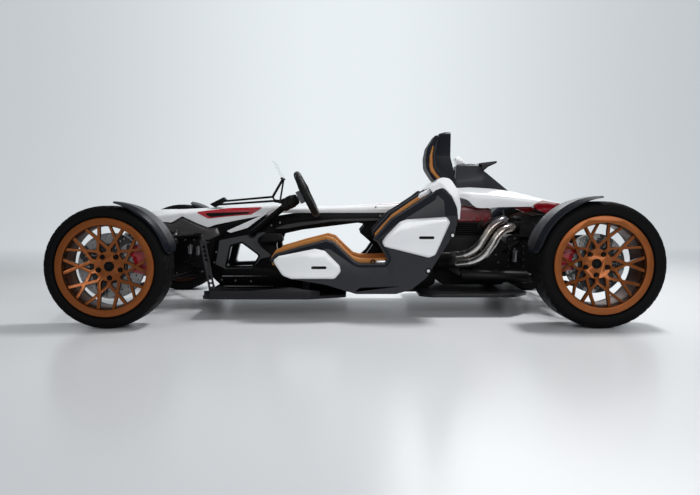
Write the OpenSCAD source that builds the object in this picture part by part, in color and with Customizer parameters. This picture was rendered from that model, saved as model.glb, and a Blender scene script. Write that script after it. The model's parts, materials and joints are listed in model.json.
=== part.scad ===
// Open-wheel concept car with one floating seat on the left of a backbone frame.
// X points forward, Y to the left, Z up. The origin is on the ground below the middle of the car.
// Outlines are tables of [along, across, corner radius].

/* [Wheels and tyres] */
// Distance between the front and rear axles
wheelbase = 2427; // [2380:1:2480]
// Width over the tyres
overall_w = 1820; // [1790:1:1860]
// Height of a front tyre's sidewall above the rim's lip
front_wall = 58; // [52:1:63]
// Height of a rear tyre's sidewall above the rim's lip
rear_wall = 69; // [63:1:74]
// Width of a front tyre
front_tyre_w = 215; // [208:1:222]
// Width of a rear tyre
rear_tyre_w = 245; // [238:1:252]
// Outer diameter of the rim's lip
rim_lip_d = 486; // [480:1:492]
// Gap from a front brake disc's edge to the rim's barrel
front_disc_gap = 35; // [32:1:45]
// Gap from a rear brake disc's edge to the rim's barrel
rear_disc_gap = 50; // [40:1:55]
// Depth of the hub face behind the lip of a front rim
front_dish = 78; // [70:1:84]
// Depth of the hub face behind the lip of a rear rim
rear_dish = 108; // [98:1:114]
// Width of a rim spoke
spoke_w = 15; // [11:0.5:18]
// Wheel bolts
lug_count = 5; // [5:1:5]

/* [Frame and floor] */
// Width of the backbone frame
frame_w = 400; // [380:2:420]
// Thickness of each frame side plate
plate_t = 60; // [40:1:80]
// Width of the front bulkhead
bulkhead_w = 340; // [320:2:350]
// Height of the frame's top deck above the ground
deck_z = 556; // [552:1:560]
// Ground clearance under the floor tray
tray_z = 106; // [96:1:112]
// Width over the floor tray's sills
tray_w = 1200; // [1120:2:1240]

/* [Seat] */
// Gap between the frame's side and the seat shell
seat_gap = 10; // [6:1:16]
// Width of the seat shell
seat_w = 440; // [420:2:450]
// Thickness of a seat side wall
seat_wall = 36; // [28:1:44]
// Thickness of the leather liner
liner_t = 26; // [18:1:34]
// Thickness of the side pods
pod_t = 24; // [16:1:30]
// Width of the headrest
headrest_w = 200; // [160:2:230]

/* [Steering] */
// Diameter of the steering wheel, at the middle of its grip
wheel_rim_d = 240; // [220:2:280]
// Diameter of the grip
grip_d = 29; // [24:0.5:34]
// Lean of the steering wheel from upright
wheel_lean = 25.8; // [18:0.2:32]
// Distance of the steering arm's ball from the kingpin
arm_len = 105; // [95:1:112]

/* [Engine] */
// Width of the engine block
engine_w = 340; // [300:2:360]
// Width of the gearbox
gearbox_w = 240; // [210:2:260]
// Outer diameter of an exhaust header
header_d = 48; // [40:1:52]
// Outer diameter of the silencer
silencer_d = 70; // [60:1:80]

/* [Hidden] */
$fn = 64;
fit = 0.3;                // running gap between pieces
front_r = rim_lip_d / 2 + front_wall;
rear_r = rim_lip_d / 2 + rear_wall;
half_len = (wheelbase + front_r + rear_r) / 2;
front_x = half_len - front_r;
rear_x = rear_r - half_len;
half_w = overall_w / 2;
frame_y = frame_w / 2;
bulk_y = bulkhead_w / 2;
engine_y = engine_w / 2;
gear_y = gearbox_w / 2;
tray_t = 16;
tray_top = tray_z + tray_t;
frame_low = tray_top;
seat_in = frame_y + seat_gap;
seat_out = seat_in + seat_w;
seat_y = seat_in + seat_w / 2;

// Colours
white = [0.93, 0.94, 0.95];
carbon = [0.10, 0.10, 0.11];
slate = [0.20, 0.20, 0.22];
navy = [0.07, 0.09, 0.13];
tan = [0.72, 0.38, 0.12];
bronze = [0.55, 0.27, 0.07];
red = [0.72, 0.06, 0.10];
steel = [0.62, 0.61, 0.60];
rubber = [0.05, 0.05, 0.055];

// Outline of straight edges whose corners are rounded by arcs
function unit(v) = v / norm(v);
function arc_corner(a, b, c, r, n = 5) = let (u = unit(a - b), v = unit(c - b),
    half = acos(max(-1, min(1, u * v))) / 2, t = r / tan(half), turn = 180 - 2 * half,
    mid = b + unit(u + v) * r / sin(half), s = b + u * t - mid, e = b + v * t - mid)
    [for (i = [0:n]) mid + (s * sin(turn * (1 - i / n)) + e * sin(turn * i / n)) / sin(turn)];
function at(p, i) = let (q = p[(i + len(p)) % len(p)]) [q[0], q[1]];
function rounded(p) = [for (i = [0:len(p) - 1]) each (p[i][2] == undef || p[i][2] == 0)
    ? [at(p, i)] : arc_corner(at(p, i - 1), at(p, i), at(p, i + 1), p[i][2])];

// Slabs cut from a side view (X, Z), a plan (X, Y) or a front view (Y, Z)
module side_slab(outline, y0, y1)
    translate([0, y1, 0]) rotate([90, 0, 0]) linear_extrude(y1 - y0) polygon(rounded(outline));
module plan_slab(outline, z0, z1)
    translate([0, 0, z0]) linear_extrude(z1 - z0) polygon(rounded(outline));
module front_slab(outline, x0, x1)
    translate([x0, 0, 0]) rotate([90, 0, 90]) linear_extrude(x1 - x0) polygon(rounded(outline));
module both_sides() {
    children();
    mirror([0, 1, 0]) children();
}

// Round bar between two points
module rod(a, b, r) {
    d = b - a;
    translate(a) rotate([0, acos(d.z / norm(d)), atan2(d.y, d.x)]) cylinder(r = r, h = norm(d));
}
module ball(p, r) translate(p) sphere(r = r);

// Skin through rings of points that all have the same count
module skin(rings) {
    n = len(rings[0]);
    m = len(rings);
    polyhedron(
        points = [for (ring = rings) each ring],
        faces = concat(
            [[for (i = [0:n - 1]) i]],
            [[for (i = [n - 1:-1:0]) (m - 1) * n + i]],
            [for (k = [0:m - 2], i = [0:n - 1]) let (a = k * n + i, b = k * n + (i + 1) % n)
                [a, a + n, b]],
            [for (k = [0:m - 2], i = [0:n - 1]) let (a = k * n + i, b = k * n + (i + 1) % n)
                [b, a + n, b + n]]));
}

// Wheels. A wheel is made about +Z, with its outer side up, and turned to its place.
lip_r = rim_lip_d / 2;
flange_t = 8;
lip_ring = 35;             // radial width of the lip's face
bead_r = lip_r - 14;
barrel_in = lip_r - 43;    // inner radius of the barrel
front_disc_d = 2 * (barrel_in - front_disc_gap);
rear_disc_d = 2 * (barrel_in - rear_disc_gap);
hub_t = 22;
hub_pad_r = 74;
lug_circle = 114.3;
disc_t = 26;
disc_gap = 6;              // from the hub's back face to the disc
spindle_r = 30;
carrier_r = 50;
kingpin_back = 72;         // from the hub's back face to the kingpin
pin_r = 8;
pin_reach = 26;
post_h = 116;              // from the axle to each end of the upright's post
// Columns: name, side, axle x, axle height, tyre width, dish, disc diameter
wheel_table = [
    ["fl", 1, front_x, front_r, front_tyre_w, front_dish, front_disc_d],
    ["fr", -1, front_x, front_r, front_tyre_w, front_dish, front_disc_d],
    ["rl", 1, rear_x, rear_r, rear_tyre_w, rear_dish, rear_disc_d],
    ["rr", -1, rear_x, rear_r, rear_tyre_w, rear_dish, rear_disc_d]];
function wheel_mid(w) = half_w - w[4] / 2;
function half_lip(w) = w[4] / 2 - 7.5;
function hub_face(w) = half_lip(w) - w[5];
function hub_back(w) = hub_face(w) - hub_t;
function kingpin_y(w) = wheel_mid(w) + hub_back(w) - kingpin_back;

module at_wheel(w) translate([w[2], w[1] * wheel_mid(w), w[3]]) rotate([-90 * w[1], 0, 0]) children();

groove_w = 7;
groove_depth = 6;
module tyre(w) color(rubber) at_wheel(w) rotate_extrude($fn = 96) difference() {
    r = w[3];
    half = w[4] / 2;
    tyre_section(r, half, half_lip(w) - flange_t - fit);
    for (k = [-0.42, 0, 0.42]) translate([r - groove_depth, k * half - groove_w / 2]) square([20, groove_w]);
}
module tyre_section(r, half, bead_half) {
    shoulder = (r - lip_r) / 2 - 2;
    translate([bead_r + fit, -bead_half]) square([r - shoulder - bead_r, 2 * bead_half]);
    translate([lip_r + 6, 6 - half]) square([r - shoulder - lip_r - 6, 2 * half - 12]);
    for (s = [-1, 1]) translate([r - shoulder, s * (half - shoulder)]) circle(shoulder);
    translate([r - 2 * shoulder, shoulder - half]) square([2 * shoulder, 2 * (half - shoulder)]);
}

// Barrel section, from the outer lip round to the inner one
module rim_barrel(h) rotate_extrude($fn = 96) polygon([
    [lip_r - lip_ring, h], [lip_r - 3, h], [lip_r, h - 3], [lip_r, h - flange_t], [bead_r, h - flange_t],
    [bead_r, h - 42], [bead_r - 14, h - 54], [bead_r - 14, 62 - h], [bead_r, 46 - h],
    [bead_r, flange_t - h], [lip_r, flange_t - h], [lip_r, -h], [lip_r - 18, -h], [barrel_in + 6, 14 - h],
    [barrel_in, 64 - h], [barrel_in, h - 36], [lip_r - lip_ring - 2, h - 10]]);

// Concave shell that the spokes are cut from
module rim_dish(face, edge) {
    end_r = lip_r - lip_ring + 1;
    r1 = hub_pad_r + 0.34 * (end_r - hub_pad_r);
    r2 = hub_pad_r + 0.71 * (end_r - hub_pad_r);
    z1 = face + 0.30 * (edge - face);
    z2 = face + 0.64 * (edge - face);
    rotate_extrude($fn = 96) polygon([[0, face - hub_t], [0, face], [hub_pad_r - 8, face], [r1, z1], [r2, z2],
        [end_r, edge], [end_r, edge - 16], [r2 - 2, z2 - 22], [r1 - 2, z1 - 25], [hub_pad_r + 2, face - hub_t]]);
}

module bar2d(a, b, w) {
    d = b - a;
    translate(a) rotate(atan2(d.y, d.x)) translate([-w / 4, -w / 2]) square([norm(d) + w / 2, w]);
}
function polar(r, a) = [r * cos(a), r * sin(a)];
fork_r = 90;
main_spread = 26;          // turn from a main stem to its rim ends
lug_spread = 29;           // turn from a lug stem to its rim ends
module spoke_plan() {
    step = 360 / lug_count;
    end_r = lip_r - lip_ring + 1;
    circle(r = hub_pad_r);
    for (i = [0:lug_count - 1]) {
        a = 90 + i * step;
        b = a + step / 2;
        bar2d([0, 0], polar(fork_r, a), spoke_w * 1.5);
        bar2d([0, 0], polar(fork_r + 6, b), spoke_w * 1.3);
        for (s = [-1, 1]) {
            bar2d(polar(fork_r - 4, a), polar(end_r, a + s * main_spread), spoke_w);
            bar2d(polar(fork_r + 2, b), polar(end_r, b + s * lug_spread), spoke_w * 0.85);
        }
    }
}
lug_r = 14;
module rim(w) color(bronze) at_wheel(w) rotate(w[1] > 0 ? 180 : 0) {
    face = hub_face(w);
    h = half_lip(w);
    difference() {
        union() {
            rim_barrel(h);
            intersection() {
                translate([0, 0, face - hub_t]) linear_extrude(w[5] + hub_t) spoke_plan();
                rim_dish(face, h - 12);
            }
        }
        for (i = [0:lug_count - 1]) rotate(90 + (i + 0.5) * 360 / lug_count)
            translate([lug_circle / 2, 0, face - 12]) cylinder(r = lug_r, h = 40);
    }
}

// Rotating hub: disc, hat, flange and spindle; the rear ones carry the drive shaft
shaft_r = 15;
module hub_disc(w) color(steel) at_wheel(w) {
    back = hub_back(w);
    disc_r = w[6] / 2;
    band = 0.62 * (disc_r - hub_pad_r);
    front = w[2] > 0;
    shaft_end = gear_y + 12 + fit - wheel_mid(w);
    rotate_extrude($fn = 96) polygon([
        [0, back], [hub_pad_r + 4, back], [hub_pad_r + 12, back - disc_gap], [disc_r, back - disc_gap],
        [disc_r, back - disc_gap - 9], [disc_r - 12, back - disc_gap - 11],
        [disc_r - 12, back - disc_gap - disc_t + 11], [disc_r, back - disc_gap - disc_t + 9],
        [disc_r, back - disc_gap - disc_t], [disc_r - band, back - disc_gap - disc_t],
        [disc_r - band, back - disc_gap - 9], [hub_pad_r + 4, back - 10], [spindle_r, back - 10],
        [spindle_r, back - kingpin_back - 40], [shaft_r, back - kingpin_back - 44],
        [shaft_r, front ? back - kingpin_back - 46 : shaft_end], [0, front ? back - kingpin_back - 46 : shaft_end]]);
}

// Upright with a bored carrier, a post with a pin at each end, and a caliper plate on one side
// toward: +1 puts the caliper ahead of the axle, -1 behind it
caliper_out = barrel_in - 14;
caliper_in = caliper_out - 68;
caliper_up = 12;           // turn of the caliper's middle above the axle
module upright(w, toward) translate([w[2], 0, w[3]]) {
    ky = kingpin_y(w);
    s = w[1];
    difference() {
        union() {
            rotate([-90 * s, 0, 0]) translate([0, 0, ky - 22]) cylinder(r = carrier_r, h = 44);
            translate([-21, s > 0 ? ky - 15 : -ky - 15, -post_h]) cube([42, 30, 2 * post_h]);
            for (z = [-1, 1]) translate([0, s * ky, z > 0 ? post_h : -post_h - pin_reach])
                cylinder(r = pin_r, h = pin_reach);
            translate([toward > 0 ? 0 : -caliper_in - 34, s > 0 ? ky - 2 : -ky - 12, -8])
                cube([caliper_in + 34, 14, 74]);
        }
        rotate([-90 * s, 0, 0]) translate([0, 0, ky - 60]) cylinder(r = spindle_r + fit, h = 120);
    }
}

// Caliper that straddles the disc and seats on the upright's plate
module caliper(w, toward) color(red) at_wheel(w) {
    back = hub_back(w);
    disc_r = w[6] / 2;
    near = kingpin_y(w) + 12 - wheel_mid(w);
    mirror([0, w[1] > 0 ? 1 : 0, 0]) rotate((toward > 0 ? caliper_up : 180 - caliper_up) - 26) difference() {
        rotate_extrude(angle = 52, $fn = 96) translate([caliper_in, near])
            square([caliper_out - caliper_in, back + 12 - near]);
        translate([0, 0, back - disc_gap - disc_t - 3])
            cylinder(r = disc_r + 4, h = disc_t + 6, $fn = 96);
        rotate(26) translate([caliper_in - 30, -22, back - 2]) cube([52, 44, 30]);
    }
}

// Cycle fender: an arched section turned part of the way round the tyre, with two stays
fender_gap = 16;
fender_t = 7;
fender_edge = 14;          // reach of the inner edge past the tyre's side
// Turn of the low end above the horizontal and sweep from there, behind the front axle and ahead of the rear
function fender_from(toward) = toward < 0 ? 12 : 9.5;
function fender_sweep(toward) = toward < 0 ? 69 : 79;
module fender_section(r, half) {
    y0 = -half - fender_edge;
    y1 = half - 6;
    mid = (y0 + y1) / 2;
    polygon(rounded([
        [r - 34, y0, 0], [r + 8, y0, 8], [r + 20, y0 + 26, 20], [r + 26, mid, 120], [r + 18, y1 - 24, 20],
        [r + 2, y1, 8], [r - 12, y1, 0], [r - 12, y1 - fender_t, 0], [r + 1, y1 - fender_t, 5],
        [r + 12, y1 - 30, 16], [r + 19, mid, 110], [r + 13, y0 + 32, 16], [r + 2, y0 + fender_t, 5],
        [r - 34, y0 + fender_t, 0]]));
}
module fender(w, toward) color(navy) at_wheel(w) {
    turn = toward > 0 ? fender_from(toward) : 180 - fender_from(toward) - fender_sweep(toward);
    mirror([0, w[1] > 0 ? 1 : 0, 0]) rotate(turn)
        rotate_extrude(angle = fender_sweep(toward), $fn = 96) fender_section(w[3] + fender_gap, w[4] / 2);
}
// Stays from the upright to the fender's inner edge
stay_r = 7;
module fender_stays(w, toward) {
    s = w[1];
    side = toward;
    y_in = wheel_mid(w) - w[4] / 2 - fender_edge - stay_r - fit;
    r_end = w[3] + fender_gap - 24;
    // Columns: turn at the carrier, knee's distance and height from the axle, turn at the fender
    for (q = [[20, 90, 44, 26], [58, 140, 90, 55]]) {
        root = [w[2] + side * 41 * cos(q[0]), s * (kingpin_y(w) - 6), w[3] + 41 * sin(q[0])];
        knee = [w[2] + side * q[1], s * y_in, w[3] + q[2]];
        tip = [w[2] + side * r_end * cos(q[3]), s * y_in, w[3] + r_end * sin(q[3])];
        rod(root, knee, stay_r);
        ball(knee, stay_r + 1);
        rod(knee, tip, stay_r);
    }
}

// Suspension arms. Columns: axle row, half width at the inner eyes, forward eye x, rear eye x,
// inner eye heights low and high
eye_r = 14;
eye_w = 36;
ring_r = 18;
arm_r = 11;
susp_table = [
    [0, bulk_y, front_x + 96, front_x - 310, 216, 424],
    [2, gear_y, rear_x + 240, rear_x - 66, 206, 404]];
module wishbone(w, row, high) {
    ky = kingpin_y(w);
    s = w[1];
    z_out = w[3] + (high ? post_h + 8 : -post_h - 24);
    inner_y = row[1] + eye_r + fit;
    z_in = row[high ? 5 : 4];
    hub = [w[2], s * ky, z_out + 8];
    difference() {
        union() {
            translate([w[2], s * ky, z_out]) cylinder(r = ring_r, h = 16);
            for (x = [row[2], row[3]]) {
                rod([x, s * inner_y, z_in], hub, arm_r);
                translate([x - eye_w / 2, s * inner_y, z_in]) rotate([0, 90, 0]) cylinder(r = eye_r, h = eye_w);
            }
        }
        translate([w[2], s * ky, z_out - 40]) cylinder(r = pin_r + fit, h = 100);
        translate([w[2], s * ky, high ? z_out - 40 : z_out + 16]) cylinder(r = 40, h = 40);
    }
}
module wishbones(row) color(carbon) for (k = [0, 1], high = [false, true])
    wishbone(wheel_table[row[0] + k], row, high);

// Coil-over damper between two points: body, rod, spring rings and end eyes
spring_r = 24;
wire_r = 4;
coils = 8;
module damper(a, b) {
    d = b - a;
    l = norm(d);
    translate(a) rotate([0, acos(d.z / l), atan2(d.y, d.x)]) {
        sphere(r = damper_eye);
        cylinder(r = 9, h = l);
        translate([0, 0, l * 0.14]) cylinder(r = spring_r + 3, h = 7);
        translate([0, 0, l * 0.14]) cylinder(r = spring_r - wire_r + 0.5, h = l * 0.62);
        translate([0, 0, l * 0.76]) cylinder(r = spring_r + 3, h = 8);
        for (i = [1:coils]) translate([0, 0, l * (0.14 + 0.62 * i / (coils + 1)) + 3])
            rotate_extrude() translate([spring_r - 1, 0]) circle(r = wire_r, $fn = 24);
        translate([0, 0, l]) sphere(r = damper_eye);
    }
}
damper_share = [0.523, 0.593];  // place of the front and rear lower eyes along the arm
damper_eye = 13;
function arm_end(w, high) = [w[2], kingpin_y(w), w[3] + (high ? post_h + 16 : -post_h - 16)];
function on_arm(w, row, x, share) = let (a = [x, row[1] + eye_r + fit, row[4]], b = arm_end(w, false))
    a + (b - a) * share;
module dampers() color([0.32, 0.30, 0.28]) both_sides() {
    lift = [0, 0, arm_r + damper_eye + 2 * fit];
    damper(on_arm(wheel_table[0], susp_table[0], front_x - 310, damper_share[0]) + lift,
        [front_x - 190, bulk_y + damper_eye + fit, 452]);
    damper(on_arm(wheel_table[2], susp_table[1], rear_x + 240, damper_share[1]) + lift,
        [rear_x + 66, gear_y + damper_eye + fit, 416]);
}

// Backbone frame: two plates with windows on a core of top deck, floor beam and end walls
// Columns: x, z, corner radius
frame_outline = [[835, frame_low + 70, 10], [826, 300, 30], [806, 398, 20], [690, 470, 40], [541, 524, 60],
    [375, deck_z - 4, 80], [138, deck_z, 0], [-440, deck_z, 20], [-470, 520, 15], [-470, 150, 20],
    [-430, frame_low, 20], [760, frame_low, 30]];
front_window = [[716, 362, 12], [652, 380, 14], [556, 309, 12], [592, 250, 12], [744, 245, 14]];
main_window = [[452, 372, 30], [428, 432, 20], [300, 460, 60], [-20, 500, 30], [-66, 492, 12], [-28, 446, 10],
    [-108, 376, 10], [-74, 326, 20], [40, 220, 40], [330, 206, 40], [440, 270, 40]];
inner_hollow = [[780, 250, 20], [772, 392, 20], [680, 440, 20], [541, 490, 30], [375, 512, 40], [-410, 512, 20],
    [-420, 190, 20], [740, 190, 20]];
core_y = frame_y - plate_t;
module frame_core() color(carbon) difference() {
    side_slab(frame_outline, -core_y, core_y);
    side_slab(inner_hollow, -core_y - 1, core_y + 1);
}
module frame_left() color(carbon) difference() {
    side_slab(frame_outline, core_y, frame_y);
    side_slab(front_window, core_y - 1, frame_y + 1);
    side_slab(main_window, core_y - 1, frame_y + 1);
}
module frame_right() mirror([0, 1, 0]) frame_left();

// Line between the nose cowl and the bulkhead under it
nose_under = [[1392, 372], [1250, 470], [1119, 506], [1060, 500], [997, 537], [914, 498], [848, 472],
    [807, 487], [668, 516], [535, 540]];
rack_r = 12;
rack_z = front_r - 52;
rack_x = front_x - arm_len;
module front_bulkhead() color(carbon) difference() {
    union() {
        side_slab(concat(nose_under, [[545, 525], [691, 472], [808, 399], [828, 300], [837, frame_low + 70],
            [900, 176], [1300, 190], [1360, 260]]), -bulk_y, bulk_y);
        both_sides() translate([front_x - 206, bulk_y - 20, 430]) cube([32, 20, 44]);
        // front towing eye plate
        translate([1330, -30, tow_z - eye_t / 2]) cube([70, 60, eye_t]);
    }
    translate([rack_x, -bulk_y - 1, rack_z]) rotate([-90, 0, 0]) cylinder(r = rack_r + fit, h = bulkhead_w + 2);
    translate([tow_x, 0, tow_z - 20]) cylinder(r = tow_r, h = 40);
    translate([900, -bulk_y + 40, 230]) cube([360, bulkhead_w - 80, 200]);
    // grille slots
    for (z = [276, 296, 316, 336, 356]) translate([1262, -bulk_y + 34, z]) cube([160, bulkhead_w - 68, 11]);
}
tow_r = 15;
tow_x = 1376;
tow_z = 240;
eye_t = 12;

// Floor tray with raised sills, on each side of the frame
tray_front = [[811, -tray_w / 2 + 30, 30], [811, tray_w / 2 - 30, 30], [770, tray_w / 2, 30],
    [240, tray_w / 2, 60], [46, tray_w / 2 - 90, 30], [46, -tray_w / 2 + 90, 30], [240, -tray_w / 2, 60],
    [770, -tray_w / 2, 30]];
tray_middle = [[820, -260, 20], [820, 260, 20], [-940, 260, 40], [-940, -260, 40]];
tray_rear = [[-352, -470, 40], [-352, 470, 40], [-420, 520, 40], [-860, 520, 60], [-955, 400, 40], [-955, -400, 40],
    [-860, -520, 60], [-420, -520, 40]];
sill = [[800, tray_z, 0], [800, 150, 8], [560, 150, 60], [336, 168, 80], [125, 141, 60], [52, tray_top, 0], [52, tray_z, 0]];
module undertray() color(carbon) {
    plan_slab(tray_front, tray_z, tray_top);
    plan_slab(tray_middle, tray_z, tray_top);
    plan_slab(tray_rear, tray_z, tray_top);
    both_sides() intersection() {
        side_slab(sill, tray_w / 2 - 26, tray_w / 2 + 1);
        plan_slab(tray_front, tray_z, 400);
    }
}

// Perforated brace between the floor tray and a cross tube on the bulkhead
link_y = 352;
link_t = 10;
module front_links() color([0.25, 0.25, 0.26]) both_sides() {
    top = [848, 398];
    foot = [800, tray_top + 17];
    difference() {
        translate([0, link_y + link_t, 0]) rotate([90, 0, 0]) linear_extrude(link_t) difference() {
            union() {
                bar2d(foot, top, 34);
                translate(top) circle(r = 17);
                translate([foot.x - 17, tray_top]) square([34, 34]);
            }
            for (k = [0.02, 0.12, 0.22, 0.62, 0.72, 0.82, 0.92]) translate(foot + (top - foot) * (0.04 + 0.92 * k))
                circle(r = 8);
        }
    }
    rod([845, bulk_y, 385], [845, link_y, 385], 9);
}

// Nose cowl. Columns: x, half width, shoulder height, half width of the top, top height
nose_rows = [
    [1396, 84, 388, 60, 404],
    [1330, 130, 452, 90, 474],
    [1185, 180, 530, 120, 566],
    [1019, 198, 556, 130, 577],
    [850, 199, 572, 140, 586],
    [685, 199, 584, 140, 597],
    [436, 192, 600, 130, 613]];
nose_floor = 330;
// Sections are listed from the nose back; a skin is carried from the tail forward
function forward(rows) = [for (i = [len(rows) - 1:-1:0]) rows[i]];
function cowl_ring(r, low) = [[r[0], r[1], low], [r[0], r[1], r[2] - 14], [r[0], r[1] - 12, r[2]], [r[0], r[3], r[4]],
    [r[0], -r[3], r[4]], [r[0], 12 - r[1], r[2]], [r[0], -r[1], r[2] - 14], [r[0], -r[1], low]];
blade = [[742, 451, 4], [714, 442, 4], [618, 470, 20], [455, 590, 0], [536, 542, 20]];
accent = [[908, 560, 4], [852, 525, 12], [606, 546, 6], [534, 582, 4], [640, 576, 20]];
accent_t = 8;
module nose_cowl() color(white) {
    difference() {
        intersection() {
            skin([for (r = forward(nose_rows)) cowl_ring(r, nose_floor)]);
            side_slab(concat(nose_under, [[420, 559], [420, 640], [1420, 640], [1420, 352]]), -260, 260);
        }
        both_sides() side_slab(accent, 190, 240);
    }
}

// White blade that runs down each side from the cowl over the frame
module nose_blades() color(white) both_sides() side_slab(blade, frame_y, frame_y + 12);

// Red flash and its dark vent, set into each side of the nose
module nose_accents() color(red) both_sides() side_slab([for (p = accent) [p[0], p[1], p[2]]], 190, 190 + accent_t);

// Slim upright lamps on each side of the nose
lamp_outline = [[1300, 250, 10], [1322, 300, 10], [1270, 420, 12], [1236, 430, 10], [1262, 300, 20], [1262, 256, 10]];
module headlamps() color([0.85, 0.88, 0.92]) both_sides() side_slab(lamp_outline, bulk_y, bulk_y + 18);

// Cowl along the backbone. Same columns as the nose
spine_rows = [
    [432, 186, 580, 130, 592],
    [100, 190, 585, 130, 598],
    [-300, 190, 604, 120, 620],
    [-430, 190, 622, 112, 642]];
module spine_cowl() color(white) skin([for (r = forward(spine_rows)) cowl_ring(r, deck_z)]);

// Rear cowl shell. Columns: x, half width, low edge, shoulder height, half width of the top, top height
rear_rows = [
    [-432, 190, 562, 622, 112, 642],
    [-560, 205, 640, 664, 112, 694],
    [-640, 250, 634, 672, 112, 704],
    [-700, 262, 588, 668, 112, 705],
    [-820, 278, 590, 660, 112, 697],
    [-950, 286, 593, 646, 112, 677],
    [-1100, 270, 592, 622, 110, 641],
    [-1226, 226, 578, 596, 100, 612]];
cowl_t = 12;
function shell_ring(r, t) = let (x = r[0], w = r[1], low = r[2], sh = r[3], wt = r[4], top = r[5]) [
    [x, w, low], [x, w, sh - 16], [x, w - 16, sh], [x, wt, top], [x, -wt, top], [x, 16 - w, sh], [x, -w, sh - 16], [x, -w, low],
    [x, t - w, low], [x, t - w, sh - 16 - t / 2], [x, 16 - w + t / 2, sh - t], [x, -wt, top - t], [x, wt, top - t],
    [x, w - 16 - t / 2, sh - t], [x, w - t, sh - 16 - t / 2], [x, w - t, low]];
tail_lamp = [[-1009, 602, 4], [-1060, 630, 14], [-1186, 607, 10], [-1160, 576, 16], [-1091, 554, 16], [-1036, 576, 12]];
module rear_cowl() color(white) skin([for (r = forward(rear_rows)) shell_ring(r, cowl_t)]);
// Each lamp is a cap whose back follows the cowl's side
lamp_gap = 0.6;
function lamp_back(r) = let (x = r[0], w = r[1] + lamp_gap, low = r[2] - lamp_gap, sh = r[3] + lamp_gap, top = r[5] + lamp_gap) [
    [x, w, low], [x, w, sh - 16], [x, w - 16, sh], [x, r[4], top], [x, -r[4], top], [x, 16 - w, sh], [x, -w, sh - 16], [x, -w, low]];
module tail_lamps() color(red) difference() {
    both_sides() side_slab(tail_lamp, 226, 296);
    skin([for (r = forward(rear_rows)) lamp_back(r)]);
}

// Top line of the rear cowl, where the fairing stands
fairing_foot = [for (r = rear_rows) if (r[0] < -580 && r[0] > -960) [r[0], r[5] + fit]];
fairing_y = 104;
winglet_x = -842;
module engine_fairing() color(slate) {
    difference() {
        intersection() {
            side_slab(concat([[-590, 700 + fit, 0]], fairing_foot, [[-930, 681, 0], [-772, 800, 20], [-744, 842, 10],
                [-690, 848, 30], [-606, 838, 20]]), -fairing_y, fairing_y);
            plan_slab([[-580, -fairing_y, 30], [-580, fairing_y, 30], [-760, fairing_y - 10, 60], [-940, 34, 20],
                [-940, -34, 20], [-760, 10 - fairing_y, 60]], 600, 900);
            front_slab([[-fairing_y, 640, 0], [-fairing_y, 740, 60], [-66, 850, 30], [66, 850, 30], [fairing_y, 740, 60],
                [fairing_y, 640, 0]], -1000, -500);
        }
        front_slab([[-70, 730, 14], [-52, 812, 16], [52, 812, 16], [70, 730, 14]], -660, -560);
    }
    side_slab([[-752, 840, 0], [-744, 842, 0], [-740, 850, 4], [winglet_x, 862, 3], [winglet_x, 850, 3], [-790, 826, 20], [-768, 806, 0], [-756, 822, 0]],
        -92, 92);
}
// White cap on the front of the fairing
module intake_cap() color(white)
    side_slab([[-614, 839.3, 0], [-596, 886, 12], [-632, 888, 14], [-668, 845.7, 0]], -44, 44);

// Floating seat. Columns: x, z, corner radius
seat_outline = [[441, 318, 12], [412, 350, 16], [277, 390, 40], [146, 424, 20], [108, 412, 24], [4, 314, 24],
    [-26, 301, 20], [-154, 301, 10], [-170, 324, 10], [-117, 414, 12], [-94, 424, 8], [-187, 532, 60], [-394, 666, 80],
    [-445, 692, 16], [-497, 651, 40], [-534, 599, 24], [-530, 501, 60], [-488, 413, 80], [-371, 225, 60],
    [-293, 163, 40], [-215, 141, 40], [-7, 141, 60], [149, 189, 120], [332, 220, 60]];
// Surface of the shell under the liner, front to back, then out over the top of the walls
seat_hollow = [[470, 284, 0], [300, 292, 40], [150, 300, 30], [14, 222, 40], [-170, 206, 60], [-262, 240, 70],
    [-330, 420, 120], [-452, 640, 60], [-470, 720, 0], [470, 720, 0]];
module seat_shell() color(slate) {
    difference() {
        side_slab(seat_outline, seat_in, seat_out);
        side_slab(seat_hollow, seat_in + seat_wall, seat_out - seat_wall);
    }
    for (p = [[-250, 190], [-440, 520], [-120, 205]]) translate([p[0], frame_y, p[1]]) rotate([-90, 0, 0])
        cylinder(r = 26, h = seat_gap + 1);
    // foot on the floor tray under the legs
    rod([265, seat_y, tray_top], [265, seat_y, 250], 20);
}

// Leather liner that follows the shell's surface
// Columns: x, z, corner radius, then the step to the leather's surface in liner thicknesses, along and up, and its radius
liner_rows = [[436, 285.6, 0, -0.31, 1.09, 8], [300, 292, 40, 0, 1.08, 40], [150, 300, 30, -0.23, 1.15, 30],
    [14, 222, 40, -0.38, 1.08, 30], [-170, 206, 60, 0.15, 1.31, 50], [-262, 240, 70, 1.15, 1.08, 50],
    [-330, 420, 120, 1.31, 0.62, 110], [-446, 629.2, 0, 1.0, 0.57, 10]];
liner_low = [for (p = liner_rows) [p[0] + fit, p[1] + fit, p[2]]];
liner_high = [for (i = [len(liner_rows) - 1:-1:0]) let (p = liner_rows[i])
    [p[0] + liner_t * p[3], p[1] + liner_t * p[4], p[5]]];
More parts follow.
